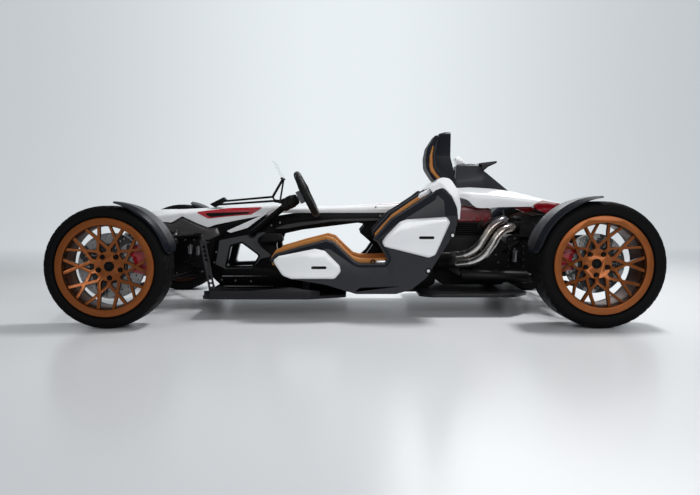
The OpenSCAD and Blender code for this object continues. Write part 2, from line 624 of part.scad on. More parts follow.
// Edge of the liner's side panels, back to front; it stands proud of the walls
liner_edge = [[-422, 658, 4], [-392, 660, 8], [-374, 682, 10], [-190, 556, 50], [-98, 454, 12], [-124, 412, 10],
    [-180, 340, 10], [-166, 327, 8], [-26, 330, 16], [8, 340, 20], [108, 434, 24], [150, 447, 20], [279, 414, 40],
    [414, 374, 14], [443, 330, 12]];
panel_t = 20;
panel_y0 = seat_in + seat_wall + fit;
panel_y1 = seat_out - seat_wall - fit;
module seat_liner() color(tan)
    side_slab(concat(liner_low, liner_high), panel_y0 + panel_t + fit, panel_y1 - panel_t - fit);
module seat_panels() color(tan) for (y = [panel_y0, panel_y1 - panel_t])
    side_slab(concat(liner_low, liner_edge), y, y + panel_t);

// White side pods with a dark slot
leg_pod = [[427, 316, 14], [396, 340, 14], [226, 375, 24], [152, 363, 26], [78, 290, 20], [72, 258, 16], [104, 221, 18],
    [332, 221, 24], [376, 238, 24]];
torso_pod = [[-140, 414, 14], [-162, 446, 16], [-232, 518, 18], [-266, 530, 16], [-474, 544, 14], [-494, 516, 16],
    [-418, 346, 20], [-384, 331, 14], [-152, 388, 14]];
// Columns: middle x, middle z
slots = [[186, 281], [-370, 436]];
module seat_pods() color(white) for (k = [0, 1]) difference() {
    side_slab(k == 0 ? leg_pod : torso_pod, seat_out, seat_out + pod_t);
    translate([slots[k][0] - 38, seat_out + pod_t - 8, slots[k][1] - 5]) cube([76, 20, 10]);
}

// White collar over the top edge of the shell's back
collar = [[-398, 669, 0], [-446, 695, 16], [-500, 653, 30], [-538, 600, 24], [-534, 520, 0], [-552, 520, 0],
    [-561, 604, 30], [-518, 676, 40], [-452, 723, 24], [-388, 690, 0]];
module seat_collar() color(white) side_slab(collar, seat_in, seat_out);

// Headrest that stands on the collar
headrest = [[-468, 724, 0], [-444, 745, 16], [-394, 808, 16], [-391, 852, 40], [-400, 914, 20], [-452, 984, 6], [-488, 995, 3],
    [-514, 995, 4], [-508, 856, 80], [-519, 818, 40], [-536, 730, 6], [-518, 676, 0], [-496, 692, 0]];
// The pad is what lies before and above this line
pad_line = [[-360, 725.4, 0], [-360, 1013, 0], [-460, 1013, 0], [-452, 984, 0], [-440, 940, 30], [-428, 860, 50],
    [-436, 812, 30], [-474, 752, 0]];
headrest_front = [[seat_y - headrest_w / 2, 600, 0], [seat_y - headrest_w / 2, 860, 60], [seat_y - headrest_w / 3, 996, 30],
    [seat_y + headrest_w / 3, 996, 30], [seat_y + headrest_w / 2, 860, 60], [seat_y + headrest_w / 2, 600, 0]];
module headrest_shell() color(navy) difference() {
    intersection() {
        side_slab(headrest, seat_y - headrest_w / 2, seat_y + headrest_w / 2);
        front_slab(headrest_front, -600, -300);
    }
    side_slab(pad_line, seat_y - headrest_w, seat_y + headrest_w);
}
module headrest_pad() color(tan) intersection() {
    side_slab([for (p = pad_line) [p[0] + fit, p[1] + fit, p[2]]], seat_y - headrest_w, seat_y + headrest_w);
    side_slab(headrest, seat_y - headrest_w / 2, seat_y + headrest_w / 2);
    front_slab(headrest_front, -600, -300);
}

// V4 engine: crankcase, two banks and heads
case_outline = [[-471, 170, 0], [-471, 350, 20], [-560, 420, 40], [-840, 420, 40], [-900, 360, 0], [-900, 172, 20], [-860, 136, 40],
    [-520, 136, 40]];
module engine_block() color([0.16, 0.15, 0.15]) {
    side_slab(case_outline, -engine_y, engine_y);
    difference() {
        side_slab([[-590, 410, 0], [-596, 504, 0], [-806, 504, 0], [-820, 410, 0]], -engine_y + 8, engine_y - 8);
        for (i = [0:5]) both_sides() translate([-830, engine_y - 22, 428 + 12 * i]) cube([260, 40, 5]);
    }
    // clutch and alternator covers
    both_sides() translate([-760, engine_y, 270]) rotate([-90, 0, 0]) cylinder(r = 86, h = 26);
    both_sides() translate([-590, engine_y, 250]) rotate([-90, 0, 0]) cylinder(r = 58, h = 20);
}
// Red head covers
cover_outline = [[-602, 504, 0], [-600, 578, 14], [-640, 596, 20], [-690, 588, 16], [-712, 588, 16], [-762, 596, 20], [-800, 578, 14],
    [-802, 504, 0]];
module head_covers() color(red) side_slab(cover_outline, -engine_y + 4, engine_y - 4);

// Bent pipe: a ring of points carried along a smooth path through the given points
function mix(p, i, t) = let (n = len(p) - 1, a = p[max(i - 1, 0)], b = p[i], c = p[i + 1], d = p[min(i + 2, n)])
    0.5 * (2 * b + (c - a) * t + (2 * a - 5 * b + 4 * c - d) * t * t + (3 * b - a - 3 * c + d) * t * t * t);
function smooth(p, k) = concat([for (i = [0:len(p) - 2], j = [0:k - 1]) mix(p, i, j / k)], [p[len(p) - 1]]);
pipe_sides = 20;
module pipe(points, r) {
    path = smooth(points, 4);
    last = len(path) - 1;
    skin([for (i = [0:last]) let (t = unit(path[min(i + 1, last)] - path[max(i - 1, 0)]),
        u = unit(cross([1, 1, 1], t)), v = cross(t, u))
        [for (k = [0:pipe_sides - 1]) path[i] + r * (u * cos(360 * k / pipe_sides) + v * sin(360 * k / pipe_sides))]]);
}
header_r = header_d / 2;
// Columns: x, y, z
port_y = engine_y - 8;
header_paths = [
    [[-752, port_y + 14, 471], [-766, 250, 520], [-764, 338, 534], [-734, 358, 464], [-688, 356, 372], [-604, 326, 322], [-520, 276, 308]],
    [[-806, port_y + 14, 462], [-834, 250, 500], [-830, 350, 504], [-790, 376, 432], [-724, 374, 328], [-632, 350, 280], [-526, 292, 264]]];
collector = [[-540, 290, 284], [-478, 262, 280]];
collector_r = 46;
module exhaust_headers() color(steel) {
    for (p = header_paths) {
        pipe(p, header_r);
        // flange on the head's side
        translate([p[0].x, port_y + fit, p[0].z]) rotate([-90, 0, 0]) cylinder(r = header_r + 6, h = 22);
    }
    rod(collector[0], collector[1], collector_r);
}
module silencer() color([0.2, 0.18, 0.17]) {
    a = [-600, 332, 210];
    b = [-966, 352, 200];
    rod(a, b, silencer_d / 2);
    difference() {
        rod(a, [-524, 292, 262], 24);
        rod(collector[0] + unit(collector[0] - collector[1]) * 100, collector[1], collector_r + fit);
    }
    rod(b, [-1010, 354, 199], 24);
}

// Gearbox and final drive
gear_outline = [[-901, 170, 0], [-901, 410, 0], [-960, 430, 20], [-1290, 430, 30], [-1316, 330, 40], [-1300, 190, 40], [-1120, 160, 40]];
// Tower on top of the casting, under the rear cowl
gear_tower = [[-975, 410, 0], [-984, 536, 20], [-1150, 546, 20], [-1205, 500, 20], [-1262, 410, 0]];
// Pockets between the casting's ribs. Columns: from x, to x, from z, to z
gear_pockets = [[-925, -990, 234, 286], [-925, -990, 304, 374], [-1008, -1090, 300, 340], [-1008, -1090, 356, 396],
    [-1008, -1090, 206, 282]];
pocket_t = 12;
drive_r = 92;
module gearbox() color([0.17, 0.16, 0.16]) difference() {
    union() {
        side_slab(gear_outline, -gear_y, gear_y);
        side_slab(gear_tower, 14 - gear_y, gear_y - 14);
        both_sides() translate([rear_x, gear_y, rear_r]) rotate([-90, 0, 0]) cylinder(r = 46, h = 12);
        translate([-1352, -30, tow_rear_z - eye_t / 2]) cube([60, 60, eye_t]);
    }
    translate([-1330, 0, tow_rear_z - 20]) cylinder(r = tow_r, h = 40);
    both_sides() for (p = gear_pockets)
        side_slab([[p[0], p[2], 8], [p[0], p[3], 8], [p[1], p[3], 8], [p[1], p[2], 8]], gear_y - pocket_t, gear_y + 1);
    // turned recess round the final drive's output
    both_sides() translate([rear_x, gear_y - 6, rear_r]) rotate([-90, 0, 0]) difference() {
        cylinder(r = drive_r, h = 20);
        translate([0, 0, -1]) cylinder(r = drive_r - 16, h = 30);
    }
}
tow_rear_z = 270;

// Steering. The wheel stands on a column whose axis leans back to the driver
wheel_centre = [262, seat_y, 662];
column_axis = [-cos(wheel_lean), 0, sin(wheel_lean)];
module on_column(along) translate(wheel_centre + column_axis * along)
    rotate([0, acos(column_axis.z), 180]) rotate([0, 0, 0]) children();
module steering_rim() color(carbon) on_column(0) {
    rotate_extrude($fn = 96) translate([wheel_rim_d / 2, 0]) circle(r = grip_d / 2, $fn = 32);
    for (a = [0, 90, 270]) rotate(a) translate([30, -13, -6]) cube([wheel_rim_d / 2 - 36, 26, 12]);
    translate([0, 0, -8]) cylinder(r = 44, h = 16);
}
module steering_hub() color([0.45, 0.46, 0.48]) on_column(-8 - 46) {
    cylinder(r = 15, h = 6);
    translate([-34, -52, 6]) cube([68, 104, 40]);
}
column_l = 76;
column_foot = wheel_centre - column_axis * (54 + fit + column_l);
stay_y = seat_y - 8;
// Corners of the deflector's stay: upper and lower strut ends, clamp bar
stay_high = [448, stay_y, 648];
stay_low = [436, stay_y, 626];
clamp_bar = [391, stay_y, 746];
block_outline = [[842, 607, 3], [760, 648, 3], [742, 630, 3], [812, 588.5, 3]];
module camera_block() color(carbon) side_slab(block_outline, 120, 176);
module steering_column() color(carbon) difference() {
    union() {
        on_column(-54 - fit - column_l) cylinder(r = 26, h = column_l);
        rod(column_foot + column_axis * 20, [588, frame_y + 24, 440], 18);
        rod([588, frame_y + 26, 440], [588, frame_y, 440], 24);
        // two struts forward to the block on the nose
        rod(stay_high, [790, 148, 622], 6);
        rod(stay_low, [800, 150, 604], 6);
        ball(stay_high, 8);
        ball(stay_low, 8);
        rod(stay_low, column_foot + column_axis * 24, 9);
        rod(stay_high, stay_low, 5);
        // bracket and clamp bar of the wind deflector
        rod(stay_high, clamp_bar, 7);
        rod([410, stay_y, 612], clamp_bar + [-4, 0, 0], 5);
        rod(clamp_bar + [0, -96, 0], clamp_bar + [0, 96, 0], 5.5);
    }
    side_slab(block_outline, 110, 190);
    on_column(-54 - fit) cylinder(r = 60, h = 80);
}
module wind_screen() color([0.8, 0.85, 0.9]) side_slab([[392, 752, 0], [436, 836, 0], [433, 838, 0], [389, 752, 0]],
    stay_y - 110, stay_y + 110);
module pedals() color(slate) {
    side_slab([[540, 384, 16], [520, 440, 20], [420, 440, 20], [396, 392, 16]], frame_y, frame_y + 110);
}

// Rack and tie rods, in one piece with the ball ends under the steering arms
module tie_rods() color(steel) {
    rod([rack_x, -bulk_y - 30, rack_z], [rack_x, bulk_y + 30, rack_z], rack_r);
    for (k = [0, 1]) {
        w = wheel_table[k];
        s = w[1];
        tip = [rack_x, s * (kingpin_y(w) - 8), rack_z];
        rod([rack_x, s * (bulk_y + 30), rack_z], tip, 9);
        translate([tip.x, tip.y, rack_z - 12]) cylinder(r = 14, h = 24);
    }
}
module knuckle(w) color(slate) {
    s = w[1];
    upright(w, -1);
    // steering arm above the tie rod's ball
    arm_z = rack_z + 12 + fit;
    y = s > 0 ? kingpin_y(w) - 24 : -kingpin_y(w) - 0;
    translate([rack_x, s * (kingpin_y(w) - 8), arm_z]) cylinder(r = 15, h = 14);
    translate([rack_x, y, arm_z]) cube([arm_len - 24, 24, 14]);
    fender_stays(w, -1);
}
module rear_uprights() color(slate) for (k = [2, 3]) {
    upright(wheel_table[k], 1);
    fender_stays(wheel_table[k], 1);
}

frame_core();
frame_left();
frame_right();
front_bulkhead();
undertray();
front_links();
nose_cowl();
nose_blades();
nose_accents();
headlamps();
spine_cowl();
rear_cowl();
engine_fairing();
intake_cap();
tail_lamps();
seat_shell();
seat_liner();
seat_panels();
seat_pods();
seat_collar();
headrest_shell();
headrest_pad();
engine_block();
head_covers();
exhaust_headers();
silencer();
gearbox();
wishbones(susp_table[0]);  // front_wishbones
wishbones(susp_table[1]);  // rear_wishbones
dampers();
rear_uprights();
for (k = [2, 3]) caliper(wheel_table[k], 1);  // rear_calipers
for (k = [2, 3]) fender(wheel_table[k], 1);  // rear_fenders
camera_block();
steering_column();
wind_screen();
pedals();
steering_rim();
steering_hub();
tie_rods();
for (w = wheel_table) {
    if (w[2] > 0) {
        knuckle(w);
        caliper(w, -1);
        fender(w, -1);
    }
    tyre(w);
    rim(w);
    hub_disc(w);
}
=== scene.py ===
# %% [markdown]
# # An open-wheel concept car with a floating seat
#
# The solids come packed from the CAD step and stay where they are. This script dresses them:
# every solid gets a finish made from shader nodes, and the pieces whose form is soft, sewn, bent or
# rounded are modelled here and stand for their solids. Metres everywhere, but tables of outlines are
# in millimetres. +X is the car's nose, +Y its left side, +Z up.

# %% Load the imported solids
import bpy
import bmesh
import json
import math
import numpy as np
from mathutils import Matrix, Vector
from mathutils.bvhtree import BVHTree


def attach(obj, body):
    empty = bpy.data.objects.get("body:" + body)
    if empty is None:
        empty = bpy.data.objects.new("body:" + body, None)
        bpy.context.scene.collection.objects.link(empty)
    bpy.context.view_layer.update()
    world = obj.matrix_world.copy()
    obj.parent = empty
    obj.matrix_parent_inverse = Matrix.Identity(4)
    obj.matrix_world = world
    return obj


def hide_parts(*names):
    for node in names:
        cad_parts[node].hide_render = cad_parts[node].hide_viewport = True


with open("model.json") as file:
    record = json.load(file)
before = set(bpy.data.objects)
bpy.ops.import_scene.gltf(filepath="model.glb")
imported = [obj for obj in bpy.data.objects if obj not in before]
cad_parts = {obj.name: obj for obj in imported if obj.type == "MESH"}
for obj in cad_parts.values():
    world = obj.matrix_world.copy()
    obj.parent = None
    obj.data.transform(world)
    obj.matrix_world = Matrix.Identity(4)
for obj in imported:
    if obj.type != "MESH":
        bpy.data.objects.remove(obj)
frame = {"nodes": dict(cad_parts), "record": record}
nodes = frame["nodes"]
body_of_node = {n: b for b, ns in frame["record"]["behaviour"]["bodies"].items() for n in ns}
slot_of_node = {s["node"]: s["material_slot"] for s in frame["record"]["subparts"]}
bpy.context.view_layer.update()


# %% A named object in the scene
def new_object(name, data):
    thing = bpy.data.objects.new(name, data)
    bpy.context.scene.collection.objects.link(thing)
    return thing


# %% [markdown]
# ## Camera
# The photograph looks square at the left side from about four and a half metres, at the height of
# the cowls, tilted down by a few degrees. The lens follows from the size of the tyres.

# %% Camera at the photograph's angle
tilt_down = 3.55
camera_data = bpy.data.cameras.new("camera")
camera_data.sensor_width = 36.0
camera_data.lens = 37.75
camera = new_object("camera", camera_data)
camera.location = (0.025, 4.45, 0.62)
camera.rotation_euler = (math.radians(90 - tilt_down), 0, math.radians(180))
bpy.context.scene.camera = camera
bpy.context.scene.view_settings.view_transform = "Standard"
print("camera", tuple(camera.location))

# %% [markdown]
# ## Shared surface effects
# Real finishes are never one flat value. Two small node groups give the variation: one breaks up
# the colour and gloss of a coat, the other makes leather creases. They read Object coordinates, so
# a pattern stays on its piece when a wheel turns.

# %% Node group helpers
def new_group(name, inputs, outputs):
    group = bpy.data.node_groups.new(name, "ShaderNodeTree")
    for label, kind, value in inputs:
        socket = group.interface.new_socket(label, in_out="INPUT", socket_type=kind)
        socket.default_value = value
    for label, kind in outputs:
        group.interface.new_socket(label, in_out="OUTPUT", socket_type=kind)
    return group, group.nodes.new("NodeGroupInput"), group.nodes.new("NodeGroupOutput")


def put(tree, kind, **values):
    node = tree.nodes.new(kind)
    for key, value in values.items():
        setattr(node, key, value)
    return node


def feed(tree, node, values):
    """Links each socket among the values and sets each constant on the node's own input."""
    for label, value in values.items():
        if isinstance(value, bpy.types.NodeSocket):
            tree.links.new(value, node.inputs[label])
        else:
            node.inputs[label].default_value = value


def math_node(tree, operation, a, b, clamp=False):
    node = put(tree, "ShaderNodeMath", operation=operation, use_clamp=clamp)
    feed(tree, node, {0: a, 1: b})
    return node.outputs[0]


def mix_colour(tree, factor, a, b, blend="MIX"):
    node = put(tree, "ShaderNodeMix", data_type="RGBA", blend_type=blend)
    feed(tree, node, {0: factor, 6: a, 7: b})
    return node.outputs[2]


def noise(tree, vector, scale, detail):
    node = put(tree, "ShaderNodeTexNoise")
    feed(tree, node, {"Detail": detail, "Roughness": 0.55, "Vector": vector, "Scale": scale})
    return node.outputs["Fac"]


def object_place(tree):
    return put(tree, "ShaderNodeTexCoord").outputs["Object"]


def bumped(tree, height, strength, distance):
    bump = put(tree, "ShaderNodeBump")
    feed(tree, bump, {"Strength": strength, "Distance": distance, "Height": height})
    feed(tree, tree.nodes["Principled BSDF"], {"Normal": bump.outputs[0]})


# %% Breakup of a coat: colour, gloss and a fine relief
def build_breakup():
    group, given, result = new_group("coat_breakup", [("Colour", "NodeSocketColor", (0.5, 0.5, 0.5, 1)),
        ("Colour Change", "NodeSocketFloat", 0.1), ("Gloss", "NodeSocketFloat", 0.4),
        ("Gloss Change", "NodeSocketFloat", 0.1), ("Cloud Scale", "NodeSocketFloat", 6.0),
        ("Grain Scale", "NodeSocketFloat", 400.0)], [("Colour", "NodeSocketColor"),
        ("Roughness", "NodeSocketFloat"), ("Height", "NodeSocketFloat")])
    where = object_place(group)
    cloud = noise(group, where, given.outputs["Cloud Scale"], 4.0)
    grain = noise(group, where, given.outputs["Grain Scale"], 2.0)
    centred = math_node(group, "SUBTRACT", cloud, 0.5)
    shade = math_node(group, "ADD", 1.0, math_node(group, "MULTIPLY", centred,
        given.outputs["Colour Change"]))
    tint = put(group, "ShaderNodeCombineColor")
    feed(group, tint, {0: shade, 1: shade, 2: shade})
    coloured = mix_colour(group, 1.0, given.outputs["Colour"], tint.outputs[0], "MULTIPLY")
    both = math_node(group, "ADD", centred, math_node(group, "SUBTRACT", grain, 0.5))
    rough = math_node(group, "ADD", given.outputs["Gloss"], math_node(group, "MULTIPLY", both,
        given.outputs["Gloss Change"]), clamp=True)
    feed(group, result, {"Colour": coloured, "Roughness": rough, "Height": grain})
    return group


# %% Leather creases
def build_leather():
    group, given, result = new_group("leather_creases", [("Scale", "NodeSocketFloat", 260.0)],
        [("Height", "NodeSocketFloat"), ("Shade", "NodeSocketFloat")])
    where = object_place(group)
    cells = put(group, "ShaderNodeTexVoronoi", feature="DISTANCE_TO_EDGE")
    feed(group, cells, {"Vector": where, "Scale": given.outputs["Scale"]})
    crease = math_node(group, "MULTIPLY", cells.outputs["Distance"], 5.0, clamp=True)
    fold = noise(group, where, 18.0, 5.0)
    height = math_node(group, "ADD", crease, math_node(group, "MULTIPLY", fold, 1.5))
    feed(group, result, {"Height": height, "Shade": math_node(group, "MULTIPLY", crease, 0.6)})
    return group


breakup_group = build_breakup()
leather_group = build_leather()
print("shared groups", breakup_group.name, leather_group.name)

# %% [markdown]
# ## Finishes
# Each finish is one material: a Principled shader fed by the shared breakup. Metallic, coat and
# sheen are the same all over a surface, so they are set on the shader itself.

# %% A coated or bare surface
def finish(name, colour, rough, metal=0.0, coat=0.0, change=0.12, gloss_change=0.12, cloud=5.0, grain=500.0,
        relief=0.03, spec=None, transmission=0.0, emission=None):
    material = bpy.data.materials.new(name)
    material.use_nodes = True
    tree = material.node_tree
    shader = tree.nodes["Principled BSDF"]
    breakup = put(tree, "ShaderNodeGroup", node_tree=breakup_group)
    feed(tree, breakup, {"Colour": (*colour, 1), "Colour Change": change, "Gloss": rough,
        "Gloss Change": gloss_change, "Cloud Scale": cloud, "Grain Scale": grain})
    feed(tree, shader, {"Base Color": breakup.outputs["Colour"], "Roughness": breakup.outputs["Roughness"],
        "Metallic": metal, "Coat Weight": coat, "Coat Roughness": 0.06, "Transmission Weight": transmission})
    if relief:
        bumped(tree, breakup.outputs["Height"], relief, 0.002)
    if spec is not None:
        feed(tree, shader, {"Specular IOR Level": spec})
    if emission:
        feed(tree, shader, {"Emission Color": (*emission[0], 1), "Emission Strength": emission[1]})
    return material


def leather(name, colour, rough, scale):
    pale = colour[0] > 0.05
    material = finish(name, colour, rough, change=0.22, cloud=9.0, relief=0.0, spec=0.3 if pale else 0.14)
    tree = material.node_tree
    creases = put(tree, "ShaderNodeGroup", node_tree=leather_group)
    feed(tree, creases, {"Scale": scale})
    bumped(tree, creases.outputs["Height"], 0.28, 0.0015)
    feed(tree, tree.nodes["Principled BSDF"], {"Sheen Weight": 0.06 if pale else 0.02})
    return material


finishes = {
    "body_white": finish("pearl_white", (0.78, 0.795, 0.81), 0.26, coat=0.7, change=0.03, relief=0.0),
    "frame_black": finish("satin_black", (0.0016, 0.0016, 0.0020), 0.30, change=0.4, spec=0.06),
    "tray_black": finish("floor_black", (0.0095, 0.0095, 0.0108), 0.36, change=0.4, spec=0.18),
    "link_grey": finish("dark_anodised", (0.030, 0.030, 0.032), 0.4, metal=0.3, spec=0.2),
    "accent_red": finish("gloss_red", (0.40, 0.006, 0.018), 0.25, coat=0.6, change=0.08),
    "lamp_clear": finish("lamp_lens", (0.85, 0.9, 0.95), 0.08, relief=0.0, transmission=0.6),
    "lamp_red": finish("red_lens", (0.19, 0.0035, 0.010), 0.10, coat=0.8, change=0.3, relief=0.0,
        emission=((0.6, 0.01, 0.02), 0.03)),
    "shell_grey": finish("graphite_shell", (0.024, 0.0245, 0.0285), 0.38, coat=0.02, change=0.2, spec=0.18),
    "leather_tan": leather("tan_leather", (0.44, 0.17, 0.034), 0.5, 300.0),
    "navy_shell": finish("navy_shell", (0.0058, 0.0074, 0.0118), 0.34, change=0.25, spec=0.11),
    "engine_dark": finish("cast_case", (0.0050, 0.0048, 0.0050), 0.5, metal=0.1, change=0.5, grain=260.0,
        relief=0.15, spec=0.14),
    "exhaust_steel": finish("header_steel", (0.46, 0.45, 0.44), 0.28, metal=1.0, change=0.5, cloud=8.0),
    "silencer_dark": finish("silencer_can", (0.010, 0.0095, 0.009), 0.38, metal=0.4, change=0.5, spec=0.16),
    "arm_black": finish("arm_black", (0.0030, 0.0030, 0.0036), 0.36, change=0.4, spec=0.12),
    "damper_steel": finish("damper_steel", (0.16, 0.155, 0.15), 0.3, metal=1.0),
    "upright_grey": finish("machined_grey", (0.05, 0.05, 0.053), 0.38, metal=0.9),
    "caliper_red": finish("caliper_red", (0.36, 0.006, 0.012), 0.3, coat=0.5, change=0.12),
    "block_black": finish("matt_black", (0.0032, 0.0032, 0.0036), 0.5, change=0.4, spec=0.12),
    "screen_clear": finish("clear_screen", (0.9, 0.93, 0.95), 0.05, relief=0.0, transmission=0.95),
    "grip_black": leather("grip_leather", (0.0060, 0.0060, 0.0072), 0.5, 420.0),
    "hub_grey": finish("instrument_grey", (0.10, 0.105, 0.115), 0.42, spec=0.35),
    "rod_steel": finish("rod_steel", (0.34, 0.34, 0.35), 0.28, metal=1.0),
    "tyre_black": finish("tyre_rubber", (0.0030, 0.0030, 0.0034), 0.58, change=0.45, grain=700.0,
        relief=0.1, spec=0.07),
    "rim_bronze": finish("copper_paint", (0.232, 0.062, 0.0082), 0.32, metal=0.65, coat=0.12, change=0.1,
        grain=1500.0),
    "disc_steel": finish("disc_steel", (0.33, 0.33, 0.335), 0.42, metal=0.55, change=0.2),
}
for name, solid in nodes.items():
    solid.data.materials.clear()
    solid.data.materials.append(finishes[slot_of_node[name]])
print(len(finishes), "finishes on", len(nodes), "solids")

# %% [markdown]
# ## Mesh tools
# Most pieces are built from the same few moves: an outline with rounded corners, a loft through
# rings of points, a tube along a path, and a turned profile. Every finished mesh gets its doubles
# merged, its normals turned outward and its hard edges marked by angle.

# %% Outlines, lofts, tubes and turned forms
def shade(mesh, angle=None):
    """Smooth faces, and where an angle is given, hard edges above it."""
    mesh.polygons.foreach_set("use_smooth", [True] * len(mesh.polygons))
    if angle is not None:
        mesh.set_sharp_from_angle(angle=math.radians(angle))


def clean(mesh, angle=35.0, merge=1e-5, flat=None):
    bm = bmesh.new()
    bm.from_mesh(mesh)
    bmesh.ops.remove_doubles(bm, verts=bm.verts, dist=merge)
    if flat:
        bmesh.ops.dissolve_limit(bm, angle_limit=math.radians(flat), verts=bm.verts, edges=bm.edges)
    bmesh.ops.recalc_face_normals(bm, faces=bm.faces)
    bm.to_mesh(mesh)
    bm.free()
    shade(mesh, angle)
    return mesh


def place(name, mesh, body, slot, material=None, stands_for=()):
    piece = new_object(name, mesh)
    if not mesh.materials:
        mesh.materials.append(material or finishes[slot])
    if stands_for:
        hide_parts(*stands_for)
    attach(piece, body)
    return piece


def fit(mesh, slot, angle=30, material=None, body="chassis", stands_for=()):
    """Cleans a mesh and places it as the piece of the same name."""
    return place(mesh.name, clean(mesh, angle), body, slot, material, stands_for)


def outline(table, steps=6):
    """Rows of x, z and corner radius in millimetres to a dense outline in metres."""
    points = [np.array(row[:2], float) for row in table]
    made = []
    for i, row in enumerate(table):
        radius = row[2] if len(row) > 2 else 0
        corner = points[i]
        if not radius:
            made.append(corner)
            continue
        u = points[i - 1] - corner
        v = points[(i + 1) % len(points)] - corner
        u, v = u / np.linalg.norm(u), v / np.linalg.norm(v)
        half = math.acos(max(-1.0, min(1.0, float(u @ v)))) / 2
        middle = corner + (u + v) / np.linalg.norm(u + v) * radius / math.sin(half)
        reach = radius / math.tan(half)
        start, end = corner + u * reach - middle, corner + v * reach - middle
        turn = math.pi - 2 * half
        for k in range(steps + 1):
            f = k / steps
            bend = start * math.sin(turn * (1 - f)) + end * math.sin(turn * f)
            made.append(middle + bend / math.sin(turn))
    return np.array(made) * 0.001


def inset(loop, amount):
    """Moves each point of a closed outline inward along its mitre."""
    before, after = np.roll(loop, 1, axis=0), np.roll(loop, -1, axis=0)
    a, b = loop - before, after - loop
    a /= np.linalg.norm(a, axis=1)[:, None] + 1e-12
    b /= np.linalg.norm(b, axis=1)[:, None] + 1e-12
    area = np.sum(loop[:, 0] * after[:, 1] - after[:, 0] * loop[:, 1])
    side = 1.0 if area > 0 else -1.0
    na, nb = np.stack([-a[:, 1], a[:, 0]], 1) * side, np.stack([-b[:, 1], b[:, 0]], 1) * side
    mitre = na + nb
    mitre /= np.maximum(np.sum(mitre * na, axis=1), 0.35)[:, None]
    return loop + mitre * amount


def loft(name, rings, row_loop=False):
    """Skins a row of rings. The ends are capped, unless the last ring runs on into the first."""
    rings = np.asarray(rings, float)
    rows, count, _ = rings.shape
    faces = []
    for k in range(rows if row_loop else rows - 1):
        a, b = k * count, (k + 1) % rows * count
        faces += [(a + i, a + (i + 1) % count, b + (i + 1) % count, b + i) for i in range(count)]
    if not row_loop:
        faces += [tuple(range(count - 1, -1, -1)), tuple(range((rows - 1) * count, rows * count))]
    mesh = bpy.data.meshes.new(name)
    mesh.from_pydata(rings.reshape(-1, 3).tolist(), [], faces)
    return mesh


def smooth_path(points, steps):
    points = np.array(points, float)
    padded = np.vstack([2 * points[0] - points[1], points, 2 * points[-1] - points[-2]])
    made = []
    for i in range(1, len(padded) - 2):
        p0, p1, p2, p3 = padded[i - 1:i + 3]
        for t in np.arange(steps) / steps:
            made.append(0.5 * (2 * p1 + (p2 - p0) * t + (2 * p0 - 5 * p1 + 4 * p2 - p3) * t ** 2
                + (3 * p1 - p0 - 3 * p2 + p3) * t ** 3))
    return np.array(made + [points[-1]])


def tube(name, path, radius, sides=16):
    path = np.array(path, float)
    along = np.gradient(path, axis=0)
    along /= np.linalg.norm(along, axis=1)[:, None]
    up = np.cross(along[0], (0.31, 0.2, 0.93))
    up /= np.linalg.norm(up)
    radii = np.broadcast_to(radius, (len(path),))
    turns = np.linspace(0, 2 * math.pi, sides, endpoint=False)
    rings = []
    for p, t, r in zip(path, along, radii):
        up = up - t * (up @ t)
        up /= np.linalg.norm(up)
        side = np.cross(t, up)
        rings.append([p + r * (math.cos(a) * up + math.sin(a) * side) for a in turns])
    return loft(name, rings)


def turned(name, profile, centre, axis, steps=48):
    """Turns rows of radius and height round an axis. The first and last rows may lie on the axis."""
    axis = np.array(axis, float) / np.linalg.norm(axis)
    u = np.cross(axis, (0.0, 0.0, 1.0) if abs(axis[2]) < 0.9 else (1.0, 0.0, 0.0))
    u /= np.linalg.norm(u)
    v = np.cross(axis, u)
    spokes = [math.cos(a) * u + math.sin(a) * v for a in np.linspace(0, 2 * math.pi, steps, endpoint=False)]
    return loft(name, [[np.array(centre) + axis * h + r * spoke for spoke in spokes] for r, h in profile])


def joined(name, meshes):
    bm = bmesh.new()
    for mesh in meshes:
        bm.from_mesh(mesh)
        bpy.data.meshes.remove(mesh)
    made = bpy.data.meshes.new(name)
    bm.to_mesh(made)
    bm.free()
    return made


def applied(piece):
    graph = bpy.context.evaluated_depsgraph_get()
    made = bpy.data.meshes.new_from_object(piece.evaluated_get(graph), depsgraph=graph)
    piece.modifiers.clear()
    old, piece.data = piece.data, made
    made.name = old.name
    bpy.data.meshes.remove(old)
    return piece


def cut_with(piece, mesh):
    cutter = new_object("cutter", mesh)
    cut = piece.modifiers.new("cut", "BOOLEAN")
    cut.object = cutter
    cut.solver = "EXACT"
    applied(piece)
    bpy.data.objects.remove(cutter)


# %% [markdown]
# ## Edges that catch the light
# No real edge is razor sharp. The solids whose form is right are copied, their flat faces joined,
# and a bevel is put on every edge above an angle. The copy stands for the solid.

# %% A softened copy of a solid
bevel_above, hard_above = 30.0, 40.0


def softened(node, width, segments):
    mesh = nodes[node].data.copy()
    mesh.name = node + "_soft"
    mesh.materials.clear()
    clean(mesh, None, 2e-5, flat=0.7)
    piece = place(node + "_soft", mesh, body_of_node[node], slot_of_node[node], stands_for=[node])
    edge = piece.modifiers.new("edges", "BEVEL")
    edge.width = width
    edge.segments = segments
    edge.limit_method = "ANGLE"
    edge.angle_limit = math.radians(bevel_above)
    edge.use_clamp_overlap = True
    applied(piece)
    shade(piece.data, hard_above)
    return piece


